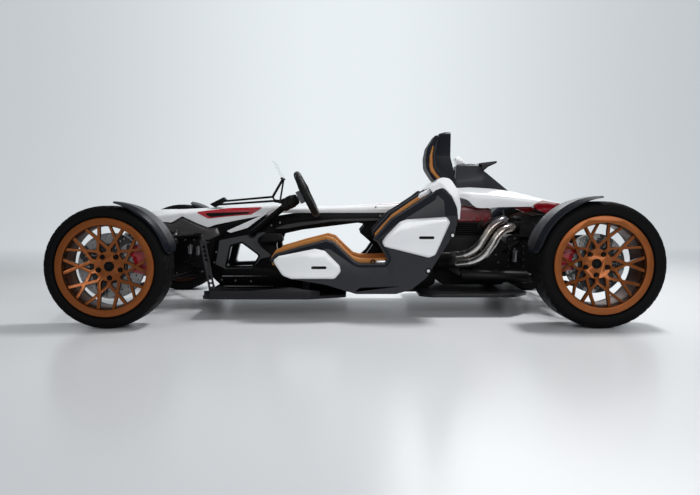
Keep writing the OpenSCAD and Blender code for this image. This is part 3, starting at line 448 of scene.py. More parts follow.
soft_edges = {"frame_core": 0.005, "frame_left": 0.006, "frame_right": 0.006, "front_bulkhead": 0.004,
    "undertray": 0.003, "front_links": 0.0015, "camera_block": 0.003, "steering_hub": 0.006, "pedals": 0.012,
    "nose_blades": 0.002, "engine_block": 0.005, "head_covers": 0.008, "gearbox": 0.006, "silencer": 0.004,
    "engine_fairing": 0.004, "intake_cap": 0.009, "rear_uprights": 0.003, "rear_calipers": 0.004,
    "knuckle_fl": 0.003, "knuckle_fr": 0.003, "caliper_fl": 0.004, "caliper_fr": 0.004, "rim_fl": 0.0016,
    "rim_fr": 0.0016, "rim_rl": 0.0016, "rim_rr": 0.0016, "seat_shell": 0.006, "headrest_shell": 0.007,
    "steering_column": 0.0015, "tail_lamps": 0.006, "headlamps": 0.005}
soft = {node: softened(node, width, 3 if width > 0.0045 else 2) for node, width in soft_edges.items()}
print(len(soft), "softened copies")

# %% [markdown]
# ## One tree for everything that repeats
# Bolts, drillings, stitches and ribs are the same small form at many places. A point mesh carries
# the places and an "aim" for each, and one Geometry Nodes tree puts the form there, turned to the
# aim, makes the copies real and gives them their finish. The result is then kept as a plain mesh.

# %% The repeating tree
def build_spread():
    group = bpy.data.node_groups.new("spread_on_points", "GeometryNodeTree")
    for label, kind in (("Geometry", "NodeSocketGeometry"), ("Fitting", "NodeSocketObject"),
            ("Size", "NodeSocketFloat"), ("Finish", "NodeSocketMaterial")):
        group.interface.new_socket(label, in_out="INPUT", socket_type=kind)
    group.interface.new_socket("Geometry", in_out="OUTPUT", socket_type="NodeSocketGeometry")
    given, result = group.nodes.new("NodeGroupInput"), group.nodes.new("NodeGroupOutput")
    aim = put(group, "GeometryNodeInputNamedAttribute", data_type="FLOAT_VECTOR")
    aim.inputs["Name"].default_value = "aim"
    turn = put(group, "FunctionNodeAlignRotationToVector", axis="Z")
    form = put(group, "GeometryNodeObjectInfo")
    copies = put(group, "GeometryNodeInstanceOnPoints")
    real = put(group, "GeometryNodeRealizeInstances")
    paint = put(group, "GeometryNodeSetMaterial")
    for a, b in ((aim.outputs[0], turn.inputs["Vector"]), (given.outputs["Fitting"], form.inputs["Object"]),
            (given.outputs["Geometry"], copies.inputs["Points"]), (form.outputs["Geometry"],
            copies.inputs["Instance"]), (turn.outputs[0], copies.inputs["Rotation"]),
            (given.outputs["Size"], copies.inputs["Scale"]), (copies.outputs[0], real.inputs[0]),
            (real.outputs[0], paint.inputs["Geometry"]), (given.outputs["Finish"], paint.inputs["Material"]),
            (paint.outputs[0], result.inputs[0])):
        group.links.new(a, b)
    return group


spread_group = build_spread()


def spread_mesh(name, places, aims, form, size, material):
    points = bpy.data.meshes.new(name)
    points.from_pydata([tuple(p) for p in places], [], [])
    aim = points.attributes.new("aim", "FLOAT_VECTOR", "POINT")
    aim.data.foreach_set("vector", np.array(aims, float).ravel())
    piece, master = new_object(name, points), new_object(name + "_form", form.copy())
    tree = piece.modifiers.new("spread", "NODES")
    tree.node_group = spread_group
    for item in spread_group.interface.items_tree:
        if item.in_out == "INPUT" and item.name != "Geometry":
            tree[item.identifier] = {"Fitting": master, "Size": size, "Finish": material}[item.name]
    applied(piece)
    mesh = piece.data
    bpy.data.objects.remove(piece)
    bpy.data.objects.remove(master)
    mesh.materials.clear()
    mesh.materials.append(material)
    return mesh


def spread(name, places, aims, form, size, body, slot, material=None):
    mesh = spread_mesh(name, places, aims, form, size, material or finishes[slot])
    return place(name, clean(mesh, 35, 1e-6), body, slot)


# %% Small forms, one unit in radius, standing on +Z
origin, upward = (0, 0, 0), (0, 0, 1)
cap_screw = turned("cap_screw", [(0.02, 0.35), (0.52, 0.35), (0.56, 0.86), (0.86, 0.86), (1.0, 0.72),
    (1.0, -0.3), (0.02, -0.3)], origin, upward, 12)
dome_screw = turned("dome_screw", [(0.02, 0.42), (0.34, 0.42), (0.38, 0.62), (0.7, 0.52), (0.92, 0.3),
    (1.0, 0.0), (1.0, -0.3), (0.02, -0.3)], origin, upward, 14)
lug_bolt = turned("lug_bolt", [(0.02, 1.0), (0.40, 1.0), (0.44, 1.5), (0.66, 1.5), (0.76, 1.38), (0.76, 0.34),
    (1.0, 0.26), (1.0, 0.0), (0.02, 0.0)], origin, upward, 18)
stitch = turned("stitch", [(0.02, -3.4), (0.7, -3.1), (1.0, -2.2), (1.0, 2.2), (0.7, 3.1), (0.02, 3.4)],
    origin, upward, 6)
peg = turned("peg", [(1.0, -5.0), (1.0, 5.0)], origin, upward, 14)
print("forms ready")

# %% [markdown]
# ## Wheels
# The lattice rim is right as a solid, so its copy only gets small bevels. The tyre is turned from a
# close profile: bead, sidewall with fine ribs, shoulder, and a crown with three grooves. Its shoulder
# cuts are made by pressing some of the turned points inward, which keeps the tyre one closed skin.

# %% Sizes of the four wheels
half_car, lip_r, bead_r = 0.91, 0.243, 0.229
lip_setback, spoke_depth = 0.0075, 0.022
wheel_rows = {}
axle_rows = (("f", 1.219, 0.301, 0.215, 0.078, 0.165), ("r", -1.208, 0.312, 0.245, 0.108, 0.150))
for end, x, radius, width, dish, disc in axle_rows:
    half_lip = width / 2 - lip_setback
    for letter, side in (("l", 1), ("r", -1)):
        wheel_rows[end + letter] = dict(side=side, x=x, r=radius, half=width / 2, mid=half_car - width / 2,
            half_lip=half_lip, face=half_lip - dish, back=half_lip - dish - spoke_depth, disc=disc)


def on_wheel(key, radius, angle, depth):
    """A point on a wheel: its distance from the axle, its turn in the side view, its depth outward."""
    w = wheel_rows[key]
    x, z = w["x"] + radius * math.cos(angle), w["r"] + radius * math.sin(angle)
    return x, w["side"] * (w["mid"] + depth), z


# %% Tyres
def tyre_profile(w):
    r, half, tall = w["r"], w["half"], w["r"] - lip_r
    bead = w["half_lip"] - 0.0085
    side = smooth_path([(lip_r + 0.0035, bead + 0.0005), (lip_r + 0.006, half - 0.0075),
        (lip_r + 0.16 * tall, half - 0.0028), (lip_r + 0.42 * tall, half - 0.0002),
        (lip_r + 0.64 * tall, half - 0.0016), (lip_r + 0.82 * tall, half - 0.0080),
        (lip_r + 0.925 * tall, half - 0.0165), (r - 0.0016, half - 0.030), (r - 0.0004, half - 0.044)], 4)
    share = (side[:, 0] - lip_r) / tall
    side[:, 1] += 0.0009 * (np.abs(share - 0.24) < 0.035) - 0.0007 * (np.abs(share - 0.60) < 0.03)
    rows = [(bead_r + 0.0006, bead - 0.012), (bead_r + 0.0006, bead), (lip_r + 0.001, bead)] + side.tolist()
    groove = ((0, 0.0036), (0.006, 0.003), (0.006, -0.003), (0, -0.0036))
    grooves = [(r - deep, y + wide) for y in (0.42 * half, 0, -0.42 * half) for deep, wide in groove]
    return rows + grooves + [(p[0], -p[1]) for p in reversed(rows)]


def build_tyre(key):
    w = wheel_rows[key]
    profile = np.array(tyre_profile(w))
    turns, cut_every, cut_wide, cut_deep = 360, 9, 2, 0.0042
    angle = np.linspace(0, 2 * math.pi, turns, endpoint=False)
    radius = np.repeat(profile[None, :, 0], turns, axis=0)
    depth = np.repeat(profile[None, :, 1], turns, axis=0)
    edge = w["half"] - np.abs(depth)
    slant = np.floor((edge - 0.010) / 0.006)
    column = (np.arange(turns)[:, None] + slant) % cut_every
    shoulder = (edge > 0.0075) & (edge < 0.047) & (radius > lip_r + 0.8 * (w["r"] - lip_r))
    radius = radius - cut_deep * ((column < cut_wide) & shoulder)
    x = w["x"] + radius * np.cos(angle)[:, None]
    z = w["r"] + radius * np.sin(angle)[:, None]
    y = w["side"] * (w["mid"] + depth)
    mesh = loft("tyre_skin_" + key, np.stack([x, y, z], 2), row_loop=True)
    fit(mesh, "tyre_black", body=body_of_node["tyre_" + key], stands_for=["tyre_" + key])


for key in wheel_rows:
    build_tyre(key)

# %% [markdown]
# The lattice is painted copper, and its depth and backs get painted shade in darker copper. Faces are sorted
# by where they look: the barrel's inside and the backs are darkest, the flanks of the spokes lie between.

# %% Painted shade on the deep sides of the lattice
# Darker copper finishes that paint in the shade of the lattice's depth and backs
bronze_painted_shade = finish("copper_shade", (0.080, 0.021, 0.0034), 0.45, metal=0.5, change=0.3)
barrel_painted_shade = finish("copper_barrel", (0.022, 0.0068, 0.0018), 0.55, metal=0.2, change=0.4, spec=0.15)


def paint_rim_shade(key):
    w, mesh = wheel_rows[key], soft["rim_" + key].data
    mesh.materials.append(bronze_painted_shade)
    mesh.materials.append(barrel_painted_shade)
    barrel_r, lattice_r, lip_band = 0.20, 0.222, 0.02
    for face in mesh.polygons:
        dx, dz = face.center.x - w["x"], face.center.z - w["r"]
        reach = math.hypot(dx, dz)
        inward = -(face.normal.x * dx + face.normal.z * dz) / max(reach, 1e-6)
        outward = face.normal.y * w["side"]
        depth = face.center.y * w["side"] - w["mid"]
        # Mask of painted shade: the barrel's inside and the backs get the darkest copper, the spoke flanks a
        # lighter painted shade
        barrel_in_shade = reach > barrel_r and inward > 0.8 and outward < 0.3 and depth < w["half_lip"] - lip_band
        if outward < -0.5 or barrel_in_shade:
            face.material_index = 2
        elif outward < 0.3 and reach < lattice_r:
            face.material_index = 1


for key in wheel_rows:
    paint_rim_shade(key)

# %% [markdown]
# The brake disc is bright where the pads sweep it and dark on its hat. Its slanted rows of drillings
# go right through, so a Boolean cuts them with one mesh of pegs that the repeating tree makes.

# %% Discs with drillings, lug bolts and centre caps
hat_dark = finish("disc_hat", (0.05, 0.05, 0.052), 0.5, metal=0.6)


def build_disc(key):
    w, piece = wheel_rows[key], softened("hub_disc_" + key, 0.0008, 1)
    low, high, hat_r = 0.112, w["disc"] - 0.011, 0.089
    places = []
    for k in range(24):
        for j in range(3):
            radius = low + (high - low) * (j + (0.25 if k % 2 else -0.05)) / 2.3
            places.append(on_wheel(key, radius, math.radians(15 * k + 5.5 * j), w["back"] - 0.019))
    cut_with(piece, clean(spread_mesh("pegs", places, [(0, 1, 0)] * len(places), peg, 0.0050, hat_dark)))
    mesh = clean(piece.data, 30)
    mesh.materials.clear()
    mesh.materials.append(finishes["disc_steel"])
    mesh.materials.append(hat_dark)
    for face in mesh.polygons:
        reach = math.hypot(face.center.x - w["x"], face.center.z - w["r"])
        face.material_index = 0 if reach > hat_r else 1


for key, w in wheel_rows.items():
    build_disc(key)
    body = body_of_node["rim_" + key]
    angles = [math.radians(270 + 72 * k) for k in range(5)]
    out = (0, w["side"], 0)
    spread("lug_bolts_" + key, [on_wheel(key, 0.05715, a, w["face"] - 0.0122) for a in angles], [out] * 5,
        lug_bolt, 0.0118, body, "block_black")
    cap = turned("centre_cap_" + key, [(0.0002, 0.0022), (0.011, 0.0022), (0.0125, 0.0032), (0.0145, 0.0032),
        (0.016, 0.002), (0.019, 0.0065), (0.0225, 0.0065), (0.0245, 0.0045), (0.0245, -0.004),
        (0.0002, -0.004)], on_wheel(key, 0, 0, w["face"]), out, 40)
    fit(cap, "block_black", body=body)
    stem = [on_wheel(key, 0.203, math.radians(18), w["half_lip"] - 0.010 - 0.003 * k) for k in range(-5, 4)]
    valve = tube("valve_" + key, stem, [0.0022, 0.0034, 0.0034, 0.0034, 0.003, 0.003, 0.004, 0.004, 0.005],
        12)
    fit(valve, "block_black", body=body)
print("wheels dressed")

# %% [markdown]
# ## Seat: pods, edge trim and fittings
# The white pods are soft-edged lids. Rings of the same outline, each a little further in and further
# out, give the rounded rim and the slight crown. A Boolean cuts the slot and a dark cup closes it.

# %% Rounded slabs from an outline
seat_out, seat_mid, seat_in = 0.650, 0.430, 0.210
pod_lines = {
    "leg": [[427, 316, 17], [396, 340, 22], [206, 378, 40], [156, 368, 30], [78, 290, 30], [72, 258, 20],
        [104, 221, 24], [332, 221, 50], [376, 238, 40]],
    "torso": [[-140, 414, 17], [-162, 446, 30], [-232, 518, 34], [-266, 530, 20], [-474, 544, 18],
        [-494, 516, 18], [-418, 346, 24], [-384, 331, 24], [-152, 388, 17]],
}
slot_middles = {"leg": (0.186, 0.281), "torso": (-0.370, 0.436)}


def inset_table(table, amount):
    """The same corners moved inward; round corners lose radius, hollow ones gain it."""
    corners = np.array([row[:2] for row in table], float)
    coming = np.roll(corners, -1, axis=0)
    before, after = corners - np.roll(corners, 1, axis=0), coming - corners
    turn = before[:, 0] * after[:, 1] - before[:, 1] * after[:, 0]
    side = np.sign(np.sum(corners[:, 0] * coming[:, 1] - coming[:, 0] * corners[:, 1]))
    moved = inset(corners, amount)
    radii = [row[2] if len(row) > 2 else 0 for row in table]
    return [[x, z, 0 if not r else max(0.6, r - amount * np.sign(t) * side)]
        for (x, z), r, t in zip(moved, radii, turn)]


def slab(name, table, levels, steps=6):
    """Levels are pairs of inset and depth along Y, in metres; the table is in millimetres."""
    return loft(name, [[(x, y, z) for x, z in outline(inset_table(table, 1000 * d), steps)]
        for d, y in levels])


def stadium(name, middle, length, height, y0, y1):
    half, r = length / 2 - height / 2, height / 2
    arc = np.linspace(-math.pi / 2, math.pi / 2, 9)
    ends = [(half, a) for a in arc] + [(-half, a + math.pi) for a in arc]
    loop = [(middle[0] + c + r * math.cos(a), middle[1] + r * math.sin(a)) for c, a in ends]
    return loft(name, [[(x, y, z) for x, z in loop] for y in (y0, y1)])


def build_pod(key):
    levels = [(0.0, 0.0), (0.0, 0.0070), (0.0006, 0.0105), (0.0020, 0.0142), (0.0043, 0.0176),
        (0.0072, 0.0205), (0.0105, 0.0227), (0.0140, 0.0240)]
    piece = fit(slab("pod_" + key, pod_lines[key], [(d, seat_out + y) for d, y in levels], 8), "body_white",
        50, stands_for=["seat_pods"] if key == "leg" else ())
    cut_with(piece, clean(stadium("slot", slot_middles[key], 0.080, 0.0150, seat_out + 0.015,
        seat_out + 0.04)))
    shade(piece.data, 50)
    fit(stadium("pod_slot_" + key, slot_middles[key], 0.0805, 0.0155, seat_out + 0.012, seat_out + 0.0165),
        "block_black")


for key in pod_lines:
    build_pod(key)
print("pods with slots")

# %% [markdown]
# The shell's walls end in a broad navy edge with crisp facets. It is a strip with eight corners in
# section, carried along the top line of each wall and made wider or narrower on the way.

# %% Navy edge trim on both walls
wall_line = [[441, 318, 12], [412, 350, 16], [277, 390, 40], [146, 424, 20], [108, 412, 24], [4, 314, 24],
    [-26, 301, 20], [-154, 301, 10], [-170, 324, 10], [-117, 414, 12], [-94, 424, 8], [-187, 532, 60],
    [-394, 666, 80], [-445, 692, 16]]


# Share of the way along the line, and the strip's width there
trim_widths = [(0, 0.018), (0.03, 0.020), (0.12, 0.030), (0.23, 0.050), (0.27, 0.046), (0.36, 0.026),
    (0.40, 0.022), (0.48, 0.020), (0.52, 0.020), (0.62, 0.022), (0.66, 0.030), (0.78, 0.040), (0.97, 0.042),
    (1.0, 0.030)]


def build_trim(name, y_face, y_back):
    line = outline(wall_line + [[wall_line[-1][0], 0], [wall_line[0][0], 0]], 6)[:-2]
    along = np.gradient(line, axis=0)
    along /= np.linalg.norm(along, axis=1)[:, None]
    inward = np.stack([-along[:, 1], along[:, 0]], 1)
    where = np.cumsum(np.r_[0, np.linalg.norm(np.diff(line, axis=0), axis=1)])
    wide = np.interp(where / where[-1], *zip(*trim_widths))
    s = 1.0 if y_face > y_back else -1.0
    edge = line + inward * wide[:, None]
    # Where the strip is wider than a bend is round, its inner edge closes up to a mitre
    for _ in range(60):
        folded = np.nonzero(np.sum(np.diff(edge, axis=0) * along[:-1], axis=1) < 0)[0]
        for k in folded:
            edge[k] = edge[k + 1] = (edge[k] + edge[k + 1]) / 2
    section = ((0.0125, y_face, 0.0030), (-0.0008, y_face, -0.0075), (-0.0022, y_face, -0.014),
        (-0.0022, y_back, 0.004), (0.003, y_back, -0.001), (0.005, y_back, 0.004))
    rings = []
    for p, n, w, q in zip(line, inward, wide, edge):
        lip = q + (p - q) * 0.0014 / w
        ring = [(q[0], y_face, q[1]), (lip[0], y_face + s * 0.0022, lip[1])]
        for d, y, h in section:
            ring.append((p[0] + n[0] * d, y + s * h, p[1] + n[1] * d))
        rings.append(ring)
    fit(loft(name, rings), "navy_shell", 18)


build_trim("edge_trim_outer", seat_out, seat_out - 0.036)
build_trim("edge_trim_inner", seat_in, seat_in + 0.036)

# %% Navy band on the shell's back, collar tips, bolts and buckle
band_line = [[-404, 668, 4], [-445, 689, 14], [-494, 648, 38], [-530, 599, 22], [-527, 549, 4],
    [-468, 549, 8], [-462, 628, 24], [-420, 660, 10]]
sill_line = [[-2, 150, 2], [-24, 175, 6], [-226, 182, 2], [-226, 179, 0.8], [-22, 171, 6], [1, 148, 0.8]]
tip_line = [[-322, 630, 7], [-398, 669, 0], [-389, 690, 0], [-338, 664, 9]]
band_levels = [(0, -0.001), (0, 0.0012), (0.0010, 0.0020)]
line_levels = [(0, -0.001), (0, 0.0008), (0.0006, 0.0012)]
tip_levels = [(0.004, -0.034), (0.001, -0.035), (0, -0.038), (0, -0.064), (0.001, -0.067), (0.004, -0.068)]
face_rows = (
    ("shell_band_", band_line, band_levels, "navy_shell", 25),
    ("shell_line_", sill_line, line_levels, "block_black", 25),
    ("collar_tip_", tip_line, tip_levels, "body_white", 30),
)
for key, face, s in (("outer", seat_out, 1), ("inner", seat_in, -1)):
    for name, table, levels, slot, angle in face_rows:
        fit(slab(name + key, table, [(d, face + s * y) for d, y in levels]), slot, angle)
collar_line = [[-402, 668, 3], [-384, 692, 8], [-440, 748, 40], [-492, 740, 40], [-536, 676, 60],
    [-548, 600, 60], [-543, 530, 3], [-534, 530, 2], [-528, 590, 40], [-500, 650, 50], [-458, 694, 24],
    [-420, 682, 10]]
lip = [(0.0035, 0.0), (0.0016, 0.0006), (0.0005, 0.0020), (0, 0.0045)]
levels = [(d, seat_in - 0.006 + y) for d, y in lip] + [(d, seat_out + 0.006 - y) for d, y in reversed(lip)]
collar = slab("collar_hood", collar_line, levels, 10)
fit(collar, "body_white", stands_for=["seat_collar"])
bolt_y = seat_out - 0.004
bolt_spots = [(-0.3820, bolt_y, 0.2625), (-0.5065, bolt_y, 0.4475)]
boss_form = [(0.0002, -0.040), (0.013, -0.040), (0.0145, -0.038), (0.0145, 0.006), (0.013, 0.008),
    (0.0105, 0.008), (0.0095, 0.005), (0.0002, 0.005)]
bosses = joined("seat_bosses", [turned("boss", boss_form, spot, (0, 1, 0), 32) for spot in bolt_spots])
fit(bosses, "block_black")
spread("seat_bolts", [(x, y + 0.006, z) for x, y, z in bolt_spots], [(0, 1, 0)] * 2, dome_screw, 0.0085,
    "chassis", "body_white")
buckle_steel = finish("buckle_steel", (0.42, 0.42, 0.43), 0.28, metal=1.0, change=0.2)
tongue_line = [[-104, 302, 5], [-112, 315, 6], [-158, 316, 6], [-166, 306, 4], [-158, 300, 3], [-112, 299, 3]]
tongue = slab("buckle_tongue", tongue_line, [(0.003, 0.6185), (0.0008, 0.6195), (0, 0.622), (0, 0.634),
    (0.0008, 0.6365), (0.003, 0.6375)])
fit(tongue, "damper_steel", material=buckle_steel)
ring_r, wire_r = 0.0095, 0.0035
wire = [(ring_r + wire_r * math.cos(b), wire_r * math.sin(b)) for b in np.linspace(0, 2 * math.pi, 12,
    endpoint=False)]
spin = [[(-0.0955 + r * math.cos(a), 0.628 + y, 0.3085 + r * math.sin(a)) for r, y in wire]
    for a in np.linspace(0, 2 * math.pi, 32, endpoint=False)]
fit(loft("buckle_ring", spin, row_loop=True), "block_black", 40)

# %% [markdown]
# ## Leather
# The seat is lined in tan leather with navy bolsters. Each pad starts as a plain closed form, is
# remeshed to even quads, and Cloth under a little pressure swells it. The three cushions are held
# where they rest on the liner. How far a point may move is capped, so a pad keeps to its place.

# %% Swelling a pad
cloth_frames = 20


def swell(piece, cap, held, voxel, pressure=4.0):
    remesh = piece.modifiers.new("remesh", "REMESH")
    remesh.mode = "VOXEL"
    remesh.voxel_size = voxel
    applied(piece)
    count = len(piece.data.vertices)
    start = np.empty(count * 3)
    piece.data.vertices.foreach_get("co", start)
    start = start.reshape(-1, 3)
    cloth = piece.modifiers.new("cloth", "CLOTH")
    settings = cloth.settings
    settings.use_pressure = True
    settings.uniform_pressure_force = pressure
    settings.effector_weights.gravity = 0.0
    settings.quality = 3
    if held is not None:
        group = piece.vertex_groups.new(name="held")
        group.add([int(i) for i in np.nonzero(held(start))[0]], 1.0, "REPLACE")
        settings.vertex_group_mass = "held"
    for number in range(1, cloth_frames + 1):
        bpy.context.scene.frame_set(number)
    graph = bpy.context.evaluated_depsgraph_get()
    swollen = np.empty(count * 3)
    piece.evaluated_get(graph).data.vertices.foreach_get("co", swollen)
    move = swollen.reshape(-1, 3) - start
    far = np.linalg.norm(move, axis=1)[:, None]
    start = start + move * np.minimum(1.0, cap / np.maximum(far, 1e-9))
    piece.modifiers.clear()
    piece.vertex_groups.clear()
    piece.data.vertices.foreach_set("co", start.ravel())
    bpy.context.scene.frame_set(1)
    even = piece.modifiers.new("even", "SMOOTH")
    even.factor = 0.5
    even.iterations = 4
    finer = piece.modifiers.new("finer", "SUBSURF")
    finer.levels = finer.render_levels = 1
    applied(piece)
    shade(piece.data)


def pad(mesh, material, cap, stands_for=(), held=None, voxel=0.006):
    piece = fit(mesh, "leather_tan", 35, material, stands_for=stands_for)
    swell(piece, cap, held, voxel)
    return piece


navy_leather = leather("navy_leather", (0.0062, 0.0080, 0.0130), 0.48, 320.0)
thread_tan = finish("tan_thread", (0.55, 0.30, 0.10), 0.7, change=0.3, grain=900.0)

# %% Seat, leg and back cushions along the liner
liner_line = [(436, 285.6, -0.31, 1.09), (300, 292, 0, 1.08), (150, 300, -0.23, 1.15), (14, 222, -0.38, 1.08),
    (-170, 206, 0.15, 1.31), (-262, 240, 1.15, 1.08), (-330, 420, 1.31, 0.62), (-446, 629.2, 1.0, 0.57)]
liner_low = smooth_path([(x / 1000, (z + 1.2) / 1000) for x, z, _, _ in liner_line], 10)
liner_step = smooth_path([(a, b) for _, _, a, b in liner_line], 10)
cushion_rows = {"leg_cushion": (2, 19), "hip_cushion": (22, 45), "back_cushion": (48, 69)}


def cushion_mesh(name, first, last):
    rings = []
    for k in range(first, last + 1):
        low, step = liner_low[k], liner_step[k] / np.linalg.norm(liner_step[k])
        end = min(k - first, last - k)
        tall = 0.018 + 0.005 * min(end, 3) / 3
        ring = []
        for u in np.linspace(-1, 1, 15):
            y = seat_mid + 0.158 * u
            roll = 0.016 * max(0.0, (abs(u) - 0.55) / 0.45) ** 1.5
            rise = (tall + roll) * (1 - 0.45 * abs(u) ** 10)
            ring.append((low[0] + step[0] * rise, y, low[1] + step[1] * rise))
        for u in np.linspace(1, -1, 9):
            ring.append((low[0] + step[0] * 0.0012, seat_mid + 0.156 * u, low[1] + step[1] * 0.0012))
        rings.append(ring)
    return loft(name, rings)


def near_liner(points):
    flat = points[:, [0, 2]]
    gap = np.min(np.linalg.norm(flat[:, None, :] - liner_low[None, :, :], axis=2), axis=1)
    return gap < 0.0095


def sew_channels(piece, rows, depth=0.0045, wide=0.0042):
    """Presses a sewn line into the pad at each row of the liner, where the leather faces out."""
    mesh = piece.data
    count = len(mesh.vertices)
    co, normal = np.empty(count * 3), np.empty(count * 3)
    mesh.vertices.foreach_get("co", co)
    mesh.vertices.foreach_get("normal", normal)
    co, normal = co.reshape(-1, 3), normal.reshape(-1, 3)
    for k in rows:
        base = liner_low[k]
        step = liner_step[k] / np.linalg.norm(liner_step[k])
        along = np.array([step[1], -step[0]])
        rel = co[:, [0, 2]] - base
        away, rise = rel @ along, rel @ step
        facing = normal[:, 0] * step[0] + normal[:, 2] * step[1]
        press = depth * np.exp(-(away / wide) ** 2) * (facing > 0.25) * (rise > 0.004) * (rise < 0.08)
        co[:, 0] -= step[0] * press
        co[:, 2] -= step[1] * press
    mesh.vertices.foreach_set("co", co.ravel())
    mesh.update()


def sew_stitches(name, piece, rows, gap=0.0065):
    """Two rows of stitches beside each channel, dropped onto the leather along the liner's step."""
    tree = BVHTree.FromObject(piece, bpy.context.evaluated_depsgraph_get())
    places, beside, above = [], 0.0052, 0.10
    for k in rows:
        step = liner_step[k] / np.linalg.norm(liner_step[k])
        along = np.array([step[1], -step[0]])
        for side in (-1, 1):
            base = liner_low[k] + along * side * beside + step * above
            for y in np.arange(0.300, 0.5605, gap):
                hit = tree.ray_cast(Vector((base[0], y, base[1])), Vector((-step[0], 0, -step[1])), 0.12)
                if hit[0] is not None:
                    places.append(hit[0] + hit[1] * 0.0001)
    spread(name, places, [(0, 1, 0)] * len(places), stitch, 0.00062, "chassis", "leather_tan", thread_tan)


channel_rows = {"leg_cushion": (5, 8, 11, 14, 17), "hip_cushion": (32, 36, 40),
    "back_cushion": (52, 56, 60, 64)}
for key, (first, last) in cushion_rows.items():
    piece = pad(cushion_mesh(key, first, last), finishes["leather_tan"], 0.007,
        ["seat_liner"] if key == "hip_cushion" else (), near_liner)
    sew_channels(piece, channel_rows[key])
    sew_stitches(key + "_stitches", piece, channel_rows[key])
print("cushions sewn")

# %% Tan side panels and navy torso bolsters
panel_edge = [[-422, 658, 4], [-392, 660, 8], [-374, 682, 10], [-190, 556, 50], [-98, 454, 12],
    [-124, 412, 10], [-180, 340, 10], [-166, 327, 8], [-26, 330, 16], [8, 340, 20], [108, 434, 24],
    [150, 447, 20], [279, 414, 40], [414, 374, 14], [443, 330, 12]]
panel_foot = [[436, 287, 0], [300, 293, 40], [150, 301, 30], [14, 223, 40], [-170, 207, 60], [-262, 241, 70],
    [-330, 421, 120], [-446, 630, 0]]
bolster_line = [[-404, 648, 8], [-386, 662, 8], [-366, 692, 12], [-177, 569, 50], [-84, 465, 14],
    [-106, 428, 12], [-170, 338, 12], [-214, 330, 20], [-250, 420, 100], [-330, 540, 60]]


def soft_levels(y0, y1, edge):
    steps = [math.pi / 2 * k / 4 for k in range(5)]
    low = [(edge * (1 - math.sin(a)), y0 + edge * (1 - math.cos(a))) for a in steps]
    return low + [(d, y0 + y1 - y) for d, y in reversed(low)]


for key, y0, y1 in (("inner", 0.2470, 0.2655), ("outer", 0.5945, 0.6130)):
    mesh = slab("side_panel_" + key, panel_foot + panel_edge, soft_levels(y0, y1, 0.006))
    pad(mesh, finishes["leather_tan"], 0.0025, ["seat_panels"] if key == "outer" else (), None, 0.005)
for key, y0, y1 in (("inner", 0.268, 0.318), ("outer", 0.542, 0.592)):
    pad(slab("torso_bolster_" + key, bolster_line, soft_levels(y0, y1, 0.016)), navy_leather, 0.006)

# %% Headrest: navy cushion in front of a tan strip
tan_strip = [[-450, 728, 2], [-404, 782, 16], [-395, 814, 20], [-398, 866, 40], [-416, 920, 2],
    [-424, 923, 2], [-414, 862, 50], [-416, 806, 24], [-436, 772, 16], [-470, 742, 2]]
side_band = [[-470, 736, 2], [-437, 770, 16], [-417, 805, 24], [-415, 862, 50], [-423, 920, 20],
    [-443, 972, 2], [-453, 970, 2], [-441, 936, 30], [-429, 860, 50], [-437, 812, 30], [-478, 748, 2]]
front_pad = [[-428, 732, 4], [-398, 778, 14], [-382, 806, 16], [-381, 852, 40], [-392, 910, 24],
    [-436, 978, 4], [-454, 972, 4], [-424, 916, 20], [-401, 866, 40], [-398, 814, 20], [-407, 784, 14],
    [-448, 736, 4]]


def headrest_slab(name, table, edge):
    """A soft slab whose sides draw in toward the top, as the headrest does in front view."""
    mesh = slab(name, table, soft_levels(0.3315, 0.5285, edge))
    for vertex in mesh.vertices:
        draw = np.interp(vertex.co.z, [0.80, 0.86, 0.93, 0.996], [1.0, 0.985, 0.87, 0.70])
        vertex.co.y = seat_mid + (vertex.co.y - seat_mid) * draw
    return mesh


strip = headrest_slab("headrest_strip", tan_strip, 0.002)
pad(strip, finishes["leather_tan"], 0.002, ["headrest_pad"], voxel=0.004)
pad(headrest_slab("headrest_cushion", front_pad, 0.0045), navy_leather, 0.004, voxel=0.004)
fit(headrest_slab("headrest_band", side_band, 0.002), "navy_shell")
print("headrest padded")

# %% [markdown]
# ## Painted cowls
# Nose, spine and rear cowl are sheets with soft shoulders. Each is lofted through closely spaced
# sections: the few measured sections are joined by a smooth curve, and every section has the same
# rounded corners, so the rings match point for point.

# %% Smooth cowl sections
def cowl_loop(width, low, shoulder, top_width, top, foot, corner, crown):
    half = [[width, low, foot], [width, shoulder, corner], [top_width, top, crown]]
    return outline(half + [[-y, z, r] for y, z, r in reversed(half)], 6)


def cowl(name, rows, low_line, steps, corner, crown):
    rings = []
    for x, width, shoulder, top_width, top in smooth_path(rows, steps):
        low = np.interp(-x, [-p[0] for p in low_line], [p[1] for p in low_line])
        tall = shoulder - low
        loop = cowl_loop(width, low, shoulder, top_width, top, min(3.0, 0.3 * tall), min(corner, 0.55 * tall),
            crown)
        rings.append([(x / 1000, y, z) for y, z in loop])
    return loft(name, rings)


nose_rows = [[1396, 84, 388, 60, 404], [1330, 130, 452, 90, 474], [1185, 180, 530, 120, 566],
    [1019, 198, 556, 130, 577], [850, 199, 572, 140, 586], [685, 199, 584, 140, 597],
    [436, 192, 600, 130, 613]]
nose_under = [[1396, 371], [1392, 372], [1250, 470], [1119, 506], [1060, 500], [997, 537], [914, 498],
    [848, 472], [807, 487], [668, 516], [535, 540], [436, 556]]
spine_rows = [[432, 186, 580, 130, 592], [100, 190, 585, 130, 598], [-300, 190, 604, 120, 620],
    [-430, 190, 622, 112, 642]]
spine_under = [[500, 556.3], [-500, 556.3]]
nose_piece = fit(cowl("nose_skin", nose_rows, nose_under, 16, 22.0, 50.0), "body_white", 32,
    stands_for=["nose_cowl"])
fit(cowl("spine_skin", spine_rows, spine_under, 12, 20.0, 60.0), "body_white", 32, stands_for=["spine_cowl"])
